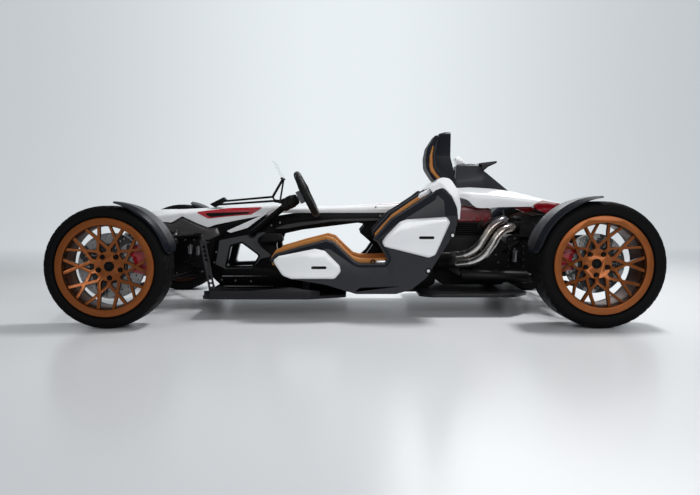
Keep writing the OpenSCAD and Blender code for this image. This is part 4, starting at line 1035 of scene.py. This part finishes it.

# %% [markdown]
# The red flash and its vent follow the cowl's skin; the vent is a black patch of painted shade that stands
# for the slot's dark depth. Each is a flat patch first, cut fine; every point is then sent along Y onto the
# skin, lifted by a hair, and the patch gets a thickness.

# %% Red flash with its vent, a black patch of painted shade, on each side of the nose
def wrapped(name, table, skin, side, lift, slot, stands_for=()):
    tree = BVHTree.FromObject(skin, bpy.context.evaluated_depsgraph_get())
    longest, outside, frame_side = 0.012, 0.6, 0.19
    bm = bmesh.new()
    corners = outline(table, 5)
    dense = []
    for a, b in zip(corners, np.roll(corners, -1, axis=0)):
        count = max(2, int(np.linalg.norm(b - a) / longest) + 1)
        dense += list(a + (b - a) * np.linspace(0, 1, count)[:-1, None])
    bm.faces.new([bm.verts.new((x, 0, z)) for x, z in dense])
    bmesh.ops.triangulate(bm, faces=bm.faces)
    for _ in range(3):
        bmesh.ops.subdivide_edges(bm, edges=[e for e in bm.edges if e.calc_length() > longest], cuts=1)
        bmesh.ops.triangulate(bm, faces=bm.faces)
    for vert in bm.verts:
        spot, normal, _, _ = tree.ray_cast(Vector((vert.co.x, side * outside, vert.co.z)),
            Vector((0, -side, 0)))
        vert.co = spot + normal * lift if spot else Vector((vert.co.x, side * frame_side, vert.co.z))
    mesh = bpy.data.meshes.new(name)
    bm.to_mesh(mesh)
    bm.free()
    piece = fit(mesh, slot, 40, stands_for=stands_for)
    back = piece.modifiers.new("thick", "SOLIDIFY")
    back.thickness = lift + 0.002
    back.offset = 0.0
    applied(piece)
    clean(piece.data, 40)


both_sides = (("left", 1), ("right", -1))
flash_line = [[917, 561, 4], [845, 524, 10], [725, 537, 40], [598, 547, 6], [562, 568, 6], [530, 589, 3],
    [725, 583, 40]]
vent_shade_line = [[866, 551, 4], [846, 556, 6], [612, 563, 4], [605, 554, 4], [830, 533, 6]]
for key, s in both_sides:
    wrapped("nose_flash_" + key, flash_line, nose_piece, s, 0.0014, "accent_red",
        ["nose_accents"] if s > 0 else ())
    # The vent is real, and its black patch paints in the shade of its depth
    wrapped("nose_vent_" + key, vent_shade_line, nose_piece, s, 0.0034, "block_black")

# %% Rear cowl as a thin sheet
rear_rows = [[-432, 190, 562, 622, 112, 642], [-560, 205, 640, 664, 112, 694],
    [-640, 250, 634, 672, 112, 704], [-700, 262, 588, 668, 112, 705], [-820, 278, 590, 660, 112, 697],
    [-950, 286, 593, 646, 112, 677], [-1100, 270, 592, 622, 110, 641], [-1226, 226, 578, 596, 100, 612]]
rear_wall = 8.0
rings = []
for x, width, low, shoulder, top_width, top in smooth_path(rear_rows, 8):
    room = max(4.0, shoulder - low)
    outer = cowl_loop(width, low, shoulder, top_width, top, 0, min(24.0, 0.5 * room), 60.0)
    inner = cowl_loop(width - rear_wall, low, shoulder - rear_wall * 0.8, top_width, top - rear_wall, 0,
        min(18.0, 0.4 * room), 54.0)
    rings.append([(x / 1000, y, z) for y, z in np.vstack([outer, inner[::-1]])])
fit(loft("rear_skin", rings), "body_white", 32, stands_for=["rear_cowl"])

# %% Red pinstripe along the spine
stripe_path = smooth_path([(0.020, 0.150, 0.5958), (-0.140, 0.152, 0.6025), (-0.300, 0.150, 0.6140),
    (-0.425, 0.147, 0.6348)], 8)
stripe_wide = np.interp(np.linspace(0, 1, len(stripe_path)), [0, 0.3, 1], [0.0006, 0.0022, 0.0032])
for key, s in both_sides:
    fit(tube("pinstripe_" + key, stripe_path * (1, s, 1), stripe_wide, 8), "accent_red", 40)
print("cowls lofted")

# %% [markdown]
# ## Fenders
# The cycle fenders are arches turned round the tyre. Toward both ends the arch draws in and comes
# down, which leaves rounded tips instead of a sawn-off gutter.

# %% Tapering arches round the tyres
fender_gap = 0.016


def fender_loop(w):
    r, half = 1000 * (w["r"] + fender_gap), 1000 * w["half"]
    y0, y1 = -half - 14, half - 6
    mid = (y0 + y1) / 2
    table = [[r - 34, y0, 0], [r - 8, y0, 8], [r + 8, y0 + 30, 24], [r + 15, mid, 100], [r + 14, y1 - 34, 5],
        [r - 3, y1, 4], [r - 13, y1, 0], [r - 13, y1 - 6, 0], [r - 7, y1 - 6, 4], [r + 7, y1 - 38, 6],
        [r + 8, mid, 90], [r + 1, y0 + 36, 20], [r - 14, y0 + 7, 5], [r - 34, y0 + 7, 0]]
    return outline(table, 6), y1 / 1000, mid / 1000


def build_fender(key, toward, body, stands_for=()):
    w = wheel_rows[key]
    loop, rim_side, middle = fender_loop(w)
    base, taper_low, taper_high = w["r"] + 0.004, 0.16, 0.30
    rings = []
    for t in np.linspace(0, 1, 57):
        end = min(t / taper_low, (1 - t) / taper_high, 1.0)
        round_off = math.sqrt(max(0.0, 1 - (1 - end) ** 2))
        tip = 0.16 if t > 0.5 else 0.42
        draw = tip + (1 - tip) * round_off
        sink = 0.80 + 0.20 * end if t > 0.5 else draw
        lift = 0.85 * (1 - end) if t > 0.5 else 0.0
        anchor = rim_side if t > 0.5 else middle
        angle = math.radians((12 + 69 * t) if toward < 0 else (9.5 + 79 * t))
        ring = []
        for radius, y in loop:
            radius += lift * max(0.0, w["r"] + 0.022 - radius)
            radius = base + (radius - base) * (sink if radius > base else min(1.0, 0.35 + 0.65 * end))
            y = anchor + (y - anchor) * draw
            x, z = w["x"] + toward * radius * math.cos(angle), w["r"] + radius * math.sin(angle)
            ring.append((x, w["side"] * (w["mid"] + y), z))
        rings.append(ring)
    fit(loft("fender_arch_" + key, rings), "navy_shell", 32, body=body, stands_for=stands_for)


build_fender("fl", -1, body_of_node["fender_fl"], ["fender_fl"])
build_fender("fr", -1, body_of_node["fender_fr"], ["fender_fr"])
build_fender("rl", 1, "chassis", ["rear_fenders"])
build_fender("rr", 1, "chassis")
print("fenders arched")

# %% [markdown]
# ## Exhaust
# The two headers are bent tubes with a flange at the head and a welded joint in the bend. Bare steel
# takes straw and violet tints near the ports, so the finish has a colour ramp on height.

# %% Headers, flanges and collector
def heat_tinted(name):
    material = finish(name, (0.5, 0.47, 0.43), 0.24, metal=1.0, change=0.3, cloud=14.0)
    tree = material.node_tree
    split = put(tree, "ShaderNodeSeparateXYZ")
    feed(tree, split, {0: object_place(tree)})
    wander = noise(tree, object_place(tree), 9.0, 3.0)
    height = math_node(tree, "ADD", split.outputs["Z"], math_node(tree, "MULTIPLY", wander, 0.09))
    share = math_node(tree, "MULTIPLY", math_node(tree, "SUBTRACT", height, 0.31), 4.0, clamp=True)
    ramp = put(tree, "ShaderNodeValToRGB")
    tints = ((0.0, (0.58, 0.56, 0.54)), (0.45, (0.50, 0.48, 0.46)), (0.7, (0.40, 0.36, 0.32)),
        (0.85, (0.27, 0.22, 0.20)), (1.0, (0.22, 0.21, 0.22)))
    for k, (at, colour) in enumerate(tints):
        spot = ramp.color_ramp.elements[k] if k < 2 else ramp.color_ramp.elements.new(at)
        spot.position = at
        spot.color = (*colour, 1)
    feed(tree, ramp, {0: share})
    feed(tree, tree.nodes["Principled BSDF"], {"Base Color": ramp.outputs[0]})
    return material


header_steel = heat_tinted("tinted_steel")
header_paths = [
    [(-752, 176, 471), (-798, 226, 503), (-842, 292, 519), (-832, 338, 516), (-794, 354, 499),
        (-757, 359, 466), (-724, 358, 416), (-684, 352, 364), (-622, 328, 325), (-520, 276, 308)],
    [(-806, 176, 462), (-848, 232, 474), (-884, 304, 478), (-872, 352, 476), (-828, 376, 464),
        (-793, 382, 432), (-760, 381, 376), (-714, 374, 318), (-646, 350, 282), (-526, 292, 264)],
]
header_radius, weld_rings, weld_height = 0.024, (20, 58, 96), 0.0016
meshes, flanges = [], []
for points in header_paths:
    path = smooth_path(np.array(points) / 1000, 12)
    radius = np.full(len(path), header_radius)
    for ring in weld_rings:
        radius = radius + weld_height * np.exp(-((np.arange(len(path)) - ring) / 0.7) ** 2)
    meshes.append(tube("header", path, radius, 28))
    x, _, z = np.array(points[0]) / 1000
    flanges.append(turned("flange", [(0.0252, 0.0), (0.036, 0.0), (0.037, 0.0015), (0.037, 0.0085),
        (0.0355, 0.010), (0.029, 0.0105), (0.027, 0.016), (0.0252, 0.020)], (x, 0.1625, z), (0, 1, 0), 36))
a, b = np.array((-0.540, 0.290, 0.284)), np.array((-0.478, 0.262, 0.280))
way = (b - a) / np.linalg.norm(b - a)
collector = turned("header_collector", [(0.0002, -0.044), (0.040, -0.044), (0.047, -0.040), (0.050, -0.030),
    (0.050, -0.004), (0.0485, 0.0), (0.0485, 0.026), (0.0505, 0.027), (0.0505, 0.041), (0.0485, 0.042),
    (0.0485, 0.066), (0.046, 0.068), (0.0002, 0.068)], a, way, 40)
fit(collector, "silencer_dark", 35)
fit(joined("header_pipes", meshes), "exhaust_steel", 35, header_steel, stands_for=["exhaust_headers"])
fit(joined("header_flanges", flanges), "silencer_dark", 35)

# %% [markdown]
# ## Coil-overs
# A damper is a turned body with two perches, and a spring is a round wire on a helix. The four share
# one function: give it the two eyes.

# %% Dampers and springs
damper_ends = {"front": ((1.0711, 0.470, 0.216), (1.029, 0.1833, 0.452)),
    "rear": ((-1.1103, 0.4701, 0.2152), (-1.142, 0.1333, 0.416))}
spring_paint = finish("spring_paint", (0.010, 0.010, 0.011), 0.35, coat=0.3)


def build_damper(low, high):
    low, high = np.array(low), np.array(high)
    axis = high - low
    length = np.linalg.norm(axis)
    axis /= length
    at = lambda share: share * length
    body = turned("damper_body", [(0.0002, 0.004), (0.011, 0.006), (0.013, 0.012), (0.013, at(0.10)),
        (0.020, at(0.115)), (0.027, at(0.14)), (0.027, at(0.165)), (0.0205, at(0.17)), (0.0165, at(0.175)),
        (0.0165, at(0.50)), (0.0185, at(0.505)), (0.0185, at(0.54)), (0.012, at(0.55)), (0.007, at(0.555)),
        (0.007, at(0.74)), (0.027, at(0.76)), (0.027, at(0.785)), (0.016, at(0.80)), (0.016, at(0.93)),
        (0.012, at(0.97)), (0.0002, at(0.985))], low, axis, 32)
    eye_form = [(0.0065, -0.011), (0.0105, -0.011), (0.0128, -0.008), (0.0128, 0.008), (0.0105, 0.011),
        (0.0065, 0.011)]
    eyes = [turned("eye", eye_form, centre, (1, 0, 0), 28) for centre in (low, high)]
    u = np.cross(axis, (1.0, 0, 0))
    u /= np.linalg.norm(u)
    v = np.cross(axis, u)
    coils, coil_r, wire_r = 8.5, 0.0225, 0.0045
    turn = np.linspace(0, 2 * math.pi * coils, 8 * 26 + 1)
    share = np.linspace(0.175, 0.755, len(turn))
    ring = np.cos(turn)[:, None] * u + np.sin(turn)[:, None] * v
    helix = low + axis * (share * length)[:, None] + coil_r * ring
    return [body] + eyes, tube("spring", helix, wire_r, 10)


solid_parts, springs = [], []
for ends in damper_ends.values():
    for s in (1, -1):
        parts, spring = build_damper(*[(x, s * y, z) for x, y, z in ends])
        solid_parts += parts
        springs.append(spring)
fit(joined("damper_bodies", solid_parts), "damper_steel", 35, stands_for=["dampers"])
fit(joined("damper_springs", springs), "damper_steel", 60, spring_paint)
print("coil-overs built")

# %% [markdown]
# ## Frame facings
# The backbone is black with satin graphite facings: a cheek round the front window and a long strip
# on the upper beam. They are thin plates on the frame's face, and a Boolean opens the window.

# %% Cheeks, beam strips and bright steel strips of painted highlight on the lower rails
graphite = finish("satin_graphite", (0.050, 0.051, 0.056), 0.42, change=0.2, spec=0.2)
cheek_line = [[782, 398, 10], [630, 428, 60], [497, 451, 6], [556, 411, 16], [560, 388, 16], [532, 353, 20],
    [474, 306, 10], [544, 290, 20], [590, 236, 14], [746, 232, 16], [806, 258, 8], [790, 340, 40]]
window_line = [[722, 372, 14], [650, 392, 16], [542, 310, 14], [586, 240, 14], [756, 235, 16]]
strip_line = [[478, 463, 4], [389, 490, 40], [309, 503, 60], [107, 522, 80], [-150, 526, 4], [-140, 513, 4],
    [130, 507, 80], [309, 481, 60], [389, 467, 40]]
# Bright steel strips along the lower rails, where the rails' edges catch the light: painted highlight
highlight_strip_rows = [[[768, 187, 1], [768, 193, 1], [500, 191, 1], [500, 189, 0.8]],
    [[760, 128, 1], [760, 134, 1], [470, 131, 1], [470, 129, 0.8]]]
facet_line = [[1119, 501, 4], [1060, 495, 6], [997, 531, 4], [914, 494, 20], [848, 468, 10], [800, 470, 4],
    [784, 430, 6], [846, 400, 14], [1029, 426, 30], [1100, 470, 10]]
facet_grey = finish("smoked_panel", (0.062, 0.058, 0.058), 0.22, change=0.35, cloud=3.0, coat=0.2, spec=0.3)
frame_face, bulkhead_face = 0.200, 0.170
for key, s in both_sides:
    plate = [(d, s * (frame_face + y)) for d, y in ((0, -0.001), (0, 0.0014), (0.0010, 0.0022))]
    swept = [(d, s * (bulkhead_face + y)) for d, y in ((0, -0.001), (0, 0.0022), (0.014, 0.0075),
        (0.016, 0.0078))]
    cheek = fit(slab("frame_cheek_%s.001" % key, cheek_line, plate), "frame_black", 30, graphite)
    cut_with(cheek, clean(slab("window", window_line, [(0, s * 0.19), (0, s * 0.21)])))
    clean(cheek.data, 30)
    fit(slab("beam_strip_" + key, strip_line, plate), "frame_black", 30, graphite)
    fit(slab("nose_facet_" + key, facet_line, swept), "frame_black", 25, facet_grey)
    # Strips of painted highlight along the lower rails
    fit(joined("sill_mouldings_" + key, [slab("sill", row, plate) for row in highlight_strip_rows]), "rod_steel")
print("frame faced")

# %% [markdown]
# ## Small fittings
# The bolts of the engine covers, head covers, gearbox and frame come from the repeating tree. Hoses
# are tubes along smooth paths.

# %% Bolts by the repeating tree
bolt_steel = finish("bolt_steel", (0.16, 0.16, 0.165), 0.34, metal=1.0, change=0.3)


def ring_spots(x, z, radius, count):
    turns = [2 * math.pi * k / count for k in range(count)]
    return [(x + radius * math.cos(a), z + radius * math.sin(a)) for a in turns]


def bolts_on(name, node, spots, size, slot, material=None, form=cap_screw):
    """Bolts on both sides, each as far out as the solid reaches at its place in the side view."""
    solid, outside = nodes[node].data, 1.2
    tree = BVHTree.FromPolygons([v.co for v in solid.vertices], [p.vertices for p in solid.polygons])
    hits = [tree.ray_cast(Vector((x, outside, z)), Vector((0, -1, 0)))[0] for x, z in spots]
    found = [(x, abs(hit.y), z) for (x, z), hit in zip(spots, hits) if hit is not None]
    spread(name, [(x, s * y, z) for s in (1, -1) for x, y, z in found],
        [(0, s, 0) for s in (1, -1) for _ in found], form, size, "chassis", slot, material)


clutch, alternator = ring_spots(-0.760, 0.270, 0.076, 10), ring_spots(-0.590, 0.250, 0.050, 8)
bolts_on("engine_bolts", "engine_block", clutch + alternator, 0.0052, "engine_dark", bolt_steel)
cover_spots = [(-0.615, 0.526), (-0.615, 0.566), (-0.660, 0.520), (-0.702, 0.520), (-0.745, 0.520),
    (-0.788, 0.526), (-0.788, 0.566), (-0.702, 0.572)]
bolts_on("cover_bolts", "head_covers", cover_spots, 0.0062, "accent_red", bolt_steel, dome_screw)
gear_spots = [(x, 0.20 + 0.04 * k) for x in (-0.912, -0.999) for k in range(6)]
bolts_on("gearbox_bolts", "gearbox", gear_spots, 0.0048, "engine_dark", bolt_steel)
frame_spots = [(0.800, 0.330), (0.812, 0.270), (0.770, 0.168), (0.690, 0.164), (0.600, 0.160),
    (-0.150, 0.540), (-0.250, 0.540), (-0.350, 0.548), (0.430, 0.500), (0.480, 0.485)]
bolts_on("frame_bolts", "frame_left", frame_spots, 0.0060, "frame_black", bolt_steel)
bolts_on("spine_plug", "spine_cowl", [(-0.124, 0.588)], 0.0070, "block_black", None, dome_screw)
# The head covers lie in shadow, so they get a darker copy of the red: painted shade
cover_red = finish("cover_red", (0.15, 0.003, 0.007), 0.38, coat=0.3, change=0.3, grain=300.0, relief=0.1)
soft["head_covers"].data.materials[0] = cover_red
print("bolts spread")

# %% Hoses and rear fittings
hose_black = finish("hose_rubber", (0.0045, 0.0045, 0.005), 0.45, change=0.3, spec=0.2)
clip_height = 0.0022
hose_paths = {
    "rear_left": ([(-0.880, 0.150, 0.452), (-0.892, 0.215, 0.478), (-0.924, 0.240, 0.501),
        (-0.996, 0.238, 0.503), (-1.040, 0.210, 0.484), (-1.052, 0.150, 0.440), (-1.052, 0.085, 0.420)],
        0.0095),
    "rear_low": ([(-0.870, 0.165, 0.330), (-0.884, 0.215, 0.342), (-0.905, 0.228, 0.372),
        (-0.940, 0.220, 0.392), (-0.965, 0.180, 0.385), (-0.970, 0.120, 0.370)], 0.0065),
}
for key, (points, radius) in hose_paths.items():
    path = smooth_path(points, 12)
    wide = np.full(len(path), radius)
    wide[8:12] += clip_height
    wide[-12:-8] += clip_height
    fit(tube("hose_" + key, path, wide, 16), "block_black", 40, hose_black)
canister = turned("catch_can", [(0.0002, 0.0), (0.019, 0.0), (0.021, 0.002), (0.021, 0.010), (0.0195, 0.012),
    (0.0195, 0.058), (0.021, 0.060), (0.021, 0.070), (0.018, 0.073), (0.010, 0.074), (0.009, 0.082),
    (0.0002, 0.083)], (-0.935, 0.150, 0.272), (0, 0.25, 0.97), 36)
fit(canister, "damper_steel", material=bolt_steel)
starter = turned("starter_motor", [(0.0002, 0.0), (0.046, 0.0), (0.046, 0.030), (0.052, 0.036),
    (0.052, 0.044), (0.049, 0.046), (0.049, 0.058), (0.052, 0.060), (0.052, 0.122), (0.048, 0.128),
    (0.038, 0.130), (0.038, 0.166), (0.0002, 0.166)], (-0.990, 0.052, 0.478), (1, 0, 0), 40)
fit(starter, "engine_dark")
can_form = [(0.0002, 0.0), (0.013, 0.0), (0.0155, 0.003), (0.0155, 0.036), (0.0165, 0.037), (0.0165, 0.047),
    (0.0145, 0.050), (0.0065, 0.051), (0.0055, 0.056), (0.0002, 0.057)]
line_steps = [(0, 0.188, 0.002), (0, 0.190, -0.016), (0.012, 0.188, -0.038), (0.034, 0.180, -0.048),
    (0.046, 0.168, -0.048)]
cans, lines = [], []
for s in (1, -1):
    for x, z in ((0.952, 0.318), (0.906, 0.312)):
        cans.append(turned("reservoir", can_form, (x, s * 0.188, z), (0, 0.1 * s, 0.995), 28))
        way = smooth_path([(x + dx, s * y, z + dz) for dx, y, dz in line_steps], 8)
        lines.append(tube("line", way, 0.0038, 10))
fit(joined("brake_reservoirs", cans), "damper_steel", 30, bolt_steel)
fit(joined("brake_lines", lines), "block_black", 40, hose_black)
bulkhead_spots = [(0.862, 0.22 + 0.038 * k) for k in range(5)]
bulkhead_spots += [(0.90 + 0.046 * k, 0.205) for k in range(7)]
bulkhead_spots += [(0.935 + 0.05 * k, 0.400) for k in range(4)]
bolts_on("bulkhead_bolts", "front_bulkhead", bulkhead_spots, 0.0052, "frame_black", bolt_steel)
print("hoses laid")

# %% [markdown]
# ## Steering
# The wheel's grip is wrapped in leather over the plain ring, with a sewn seam on its inner side. The
# column carries a round motor housing below the hub. Both follow the axis that leans to the driver.

# %% Grip and column motor
lean = math.radians(25.8)
column_axis = np.array((-math.cos(lean), 0, math.sin(lean)))
wheel_centre = np.array((0.262, seat_mid, 0.662))
across, level = np.array((0.0, 1.0, 0.0)), np.cross((0.0, 1.0, 0.0), column_axis)
grip_reach, grip_wide = 0.120, 0.0165
grip_leather = leather("grip_leather", (0.0042, 0.0042, 0.0046), 0.5, 420.0)
grip_rings, seam_spots, seam_aims = [], [], []
grip_turn = np.linspace(0, 2 * math.pi, 20, endpoint=False)
for a in np.linspace(0, 2 * math.pi, 120, endpoint=False):
    out = across * math.cos(a) + level * math.sin(a)
    thumb = 0.0022 * (math.exp(-((a - 0.35) / 0.16) ** 2) + math.exp(-((a - math.pi + 0.35) / 0.16) ** 2))
    thick = grip_wide + thumb - (0.0012 if abs(math.sin(4 * a)) < 0.03 else 0.0)
    centre, tall = wheel_centre + out * grip_reach, column_axis * 1.12
    grip_rings.append([centre + thick * (out * math.cos(b) + tall * math.sin(b)) for b in grip_turn])
    seam_spots.append(tuple(wheel_centre + out * (grip_reach - thick - 0.0002)))
    seam_aims.append(tuple(np.cross(out, column_axis)))
fit(loft("steering_grip", grip_rings, row_loop=True), "grip_black", 45, grip_leather, "steering_wheel")
spread("grip_seam", seam_spots, seam_aims, stitch, 0.0009, "steering_wheel", "leather_tan", thread_tan)
motor = turned("column_motor", [(0.0002, 0.0), (0.033, 0.0), (0.0355, 0.003), (0.0355, 0.026),
    (0.0335, 0.028), (0.0335, 0.033), (0.0355, 0.035), (0.0355, 0.062), (0.033, 0.066), (0.029, 0.084),
    (0.0275, 0.086)], wheel_centre - column_axis * 0.146, column_axis, 48)
fit(motor, "block_black")
motor_ring = [wheel_centre - column_axis * 0.146 + 0.031 * (across * math.cos(a) + level * math.sin(a))
    for a in np.linspace(0, 2 * math.pi, 6, endpoint=False)]
spread("motor_screws", motor_ring, [-column_axis] * 6, cap_screw, 0.0032, "chassis", "block_black",
    bolt_steel)
print("steering dressed")

# %% Pivot bolts of the suspension arms
front_x, rear_x = wheel_rows["fl"]["x"], wheel_rows["rl"]["x"]
eye_spots = [(front_x + d, 0.1843, z) for d in (0.096, -0.310) for z in (0.216, 0.424)]
eye_spots += [(rear_x + d, 0.1343, z) for d in (0.240, -0.066) for z in (0.206, 0.404)]
pivots = [(x + end * 0.0185, s * y, z, end) for x, y, z in eye_spots for s in (1, -1) for end in (1, -1)]
spread("arm_bolts", [p[:3] for p in pivots], [(p[3], 0, 0) for p in pivots], lug_bolt, 0.0085, "chassis",
    "arm_black", bolt_steel)
print(len(pivots), "pivot bolts")

# %% [markdown]
# ## Stage
# A pale studio floor curves up into a backdrop. The floor is lit like the car and keeps its shadow;
# its colour is painted lighter in the middle and darker toward the sides and the camera, a painted pool
# of light. The backdrop is far from the lamps, so to the camera and to mirrors it glows in a pale
# colour, with a painted pool of light behind the middle of the car.

# %% Floor and backdrop
def stage_finish():
    material = finish("studio_floor", (0.60, 0.615, 0.635), 0.26, change=0.015, cloud=0.4, relief=0.0,
        gloss_change=0.02, spec=0.3)
    tree = material.node_tree
    shader = tree.nodes["Principled BSDF"]
    where = put(tree, "ShaderNodeSeparateXYZ")
    feed(tree, where, {0: object_place(tree)})
    across = math_node(tree, "MULTIPLY", where.outputs["X"], 0.27)
    middle = math_node(tree, "POWER", 2.718, math_node(tree, "MULTIPLY",
        math_node(tree, "MULTIPLY", across, across), -1.0))
    toward = math_node(tree, "MULTIPLY", math_node(tree, "SUBTRACT", where.outputs["Y"], 0.6), 0.22,
        clamp=True)
    # Painted pool of light: the floor's colour is lightest in the middle and darker toward the sides and the
    # camera
    pale = math_node(tree, "SUBTRACT", middle, toward, clamp=True)
    feed(tree, shader, {"Base Color": mix_colour(tree, pale, (0.41, 0.43, 0.45, 1), (0.74, 0.755, 0.77, 1))})
    # The backdrop's glow is brightest behind the middle: a painted pool of light
    glow = put(tree, "ShaderNodeEmission")
    feed(tree, glow, {"Color": mix_colour(tree, middle, (0.52, 0.555, 0.58, 1), (0.82, 0.87, 0.90, 1))})
    path = put(tree, "ShaderNodeLightPath")
    seen = math_node(tree, "MAXIMUM", path.outputs["Is Camera Ray"], math_node(tree, "MAXIMUM",
        path.outputs["Is Glossy Ray"], path.outputs["Is Transmission Ray"]))
    back = math_node(tree, "MULTIPLY", math_node(tree, "ADD", where.outputs["Y"], 2.0), -0.30, clamp=True)
    mix = put(tree, "ShaderNodeMixShader")
    feed(tree, mix, {0: math_node(tree, "MULTIPLY", seen, back), 1: shader.outputs[0], 2: glow.outputs[0]})
    feed(tree, tree.nodes["Material Output"], {"Surface": mix.outputs[0]})
    return material


def build_stage():
    mesh = bpy.data.meshes.new("studio_floor")
    near, far, bend, tall, half = 9.0, -5.0, 2.5, 9.0, 14.0
    profile = [(near, 0.0), (far, 0.0)]
    profile += [(far - bend * math.sin(a), bend - bend * math.cos(a))
        for a in np.linspace(0, math.pi / 2, 14)[1:]]
    profile += [(far - bend, tall)]
    verts = [(x, y, z) for x in (-half, half) for y, z in profile]
    n = len(profile)
    mesh.from_pydata(verts, [], [(i, i + 1, n + i + 1, n + i) for i in range(n - 1)])
    shade(mesh)
    mesh.materials.append(stage_finish())
    new_object("studio_floor", mesh)


def soft_lamp(name, spot, aim, size, power):
    data = bpy.data.lights.new(name, "AREA")
    data.shape = "RECTANGLE"
    data.size, data.size_y = size
    data.energy = power
    lamp = new_object(name, data)
    lamp.location = spot
    lamp.rotation_euler = (Vector(aim) - Vector(spot)).to_track_quat("-Z", "Y").to_euler()


build_stage()
soft_lamp("overhead", (-1.9, -0.2, 5.0), (0, 0.1, 0), (1.3, 0.9), 215)
soft_lamp("side_fill", (-1.5, 6.5, 2.4), (0, 0, 0.5), (5.0, 2.2), 150)
soft_lamp("back_rim", (-2.2, -3.6, 3.2), (0, 0, 0.4), (4.0, 1.5), 90)
world = bpy.data.worlds.new("studio_world")
world.use_nodes = True
sky = world.node_tree
feed(sky, sky.nodes["Background"], {"Color": (0.78, 0.80, 0.83, 1), "Strength": 0.42})
bpy.context.scene.world = world
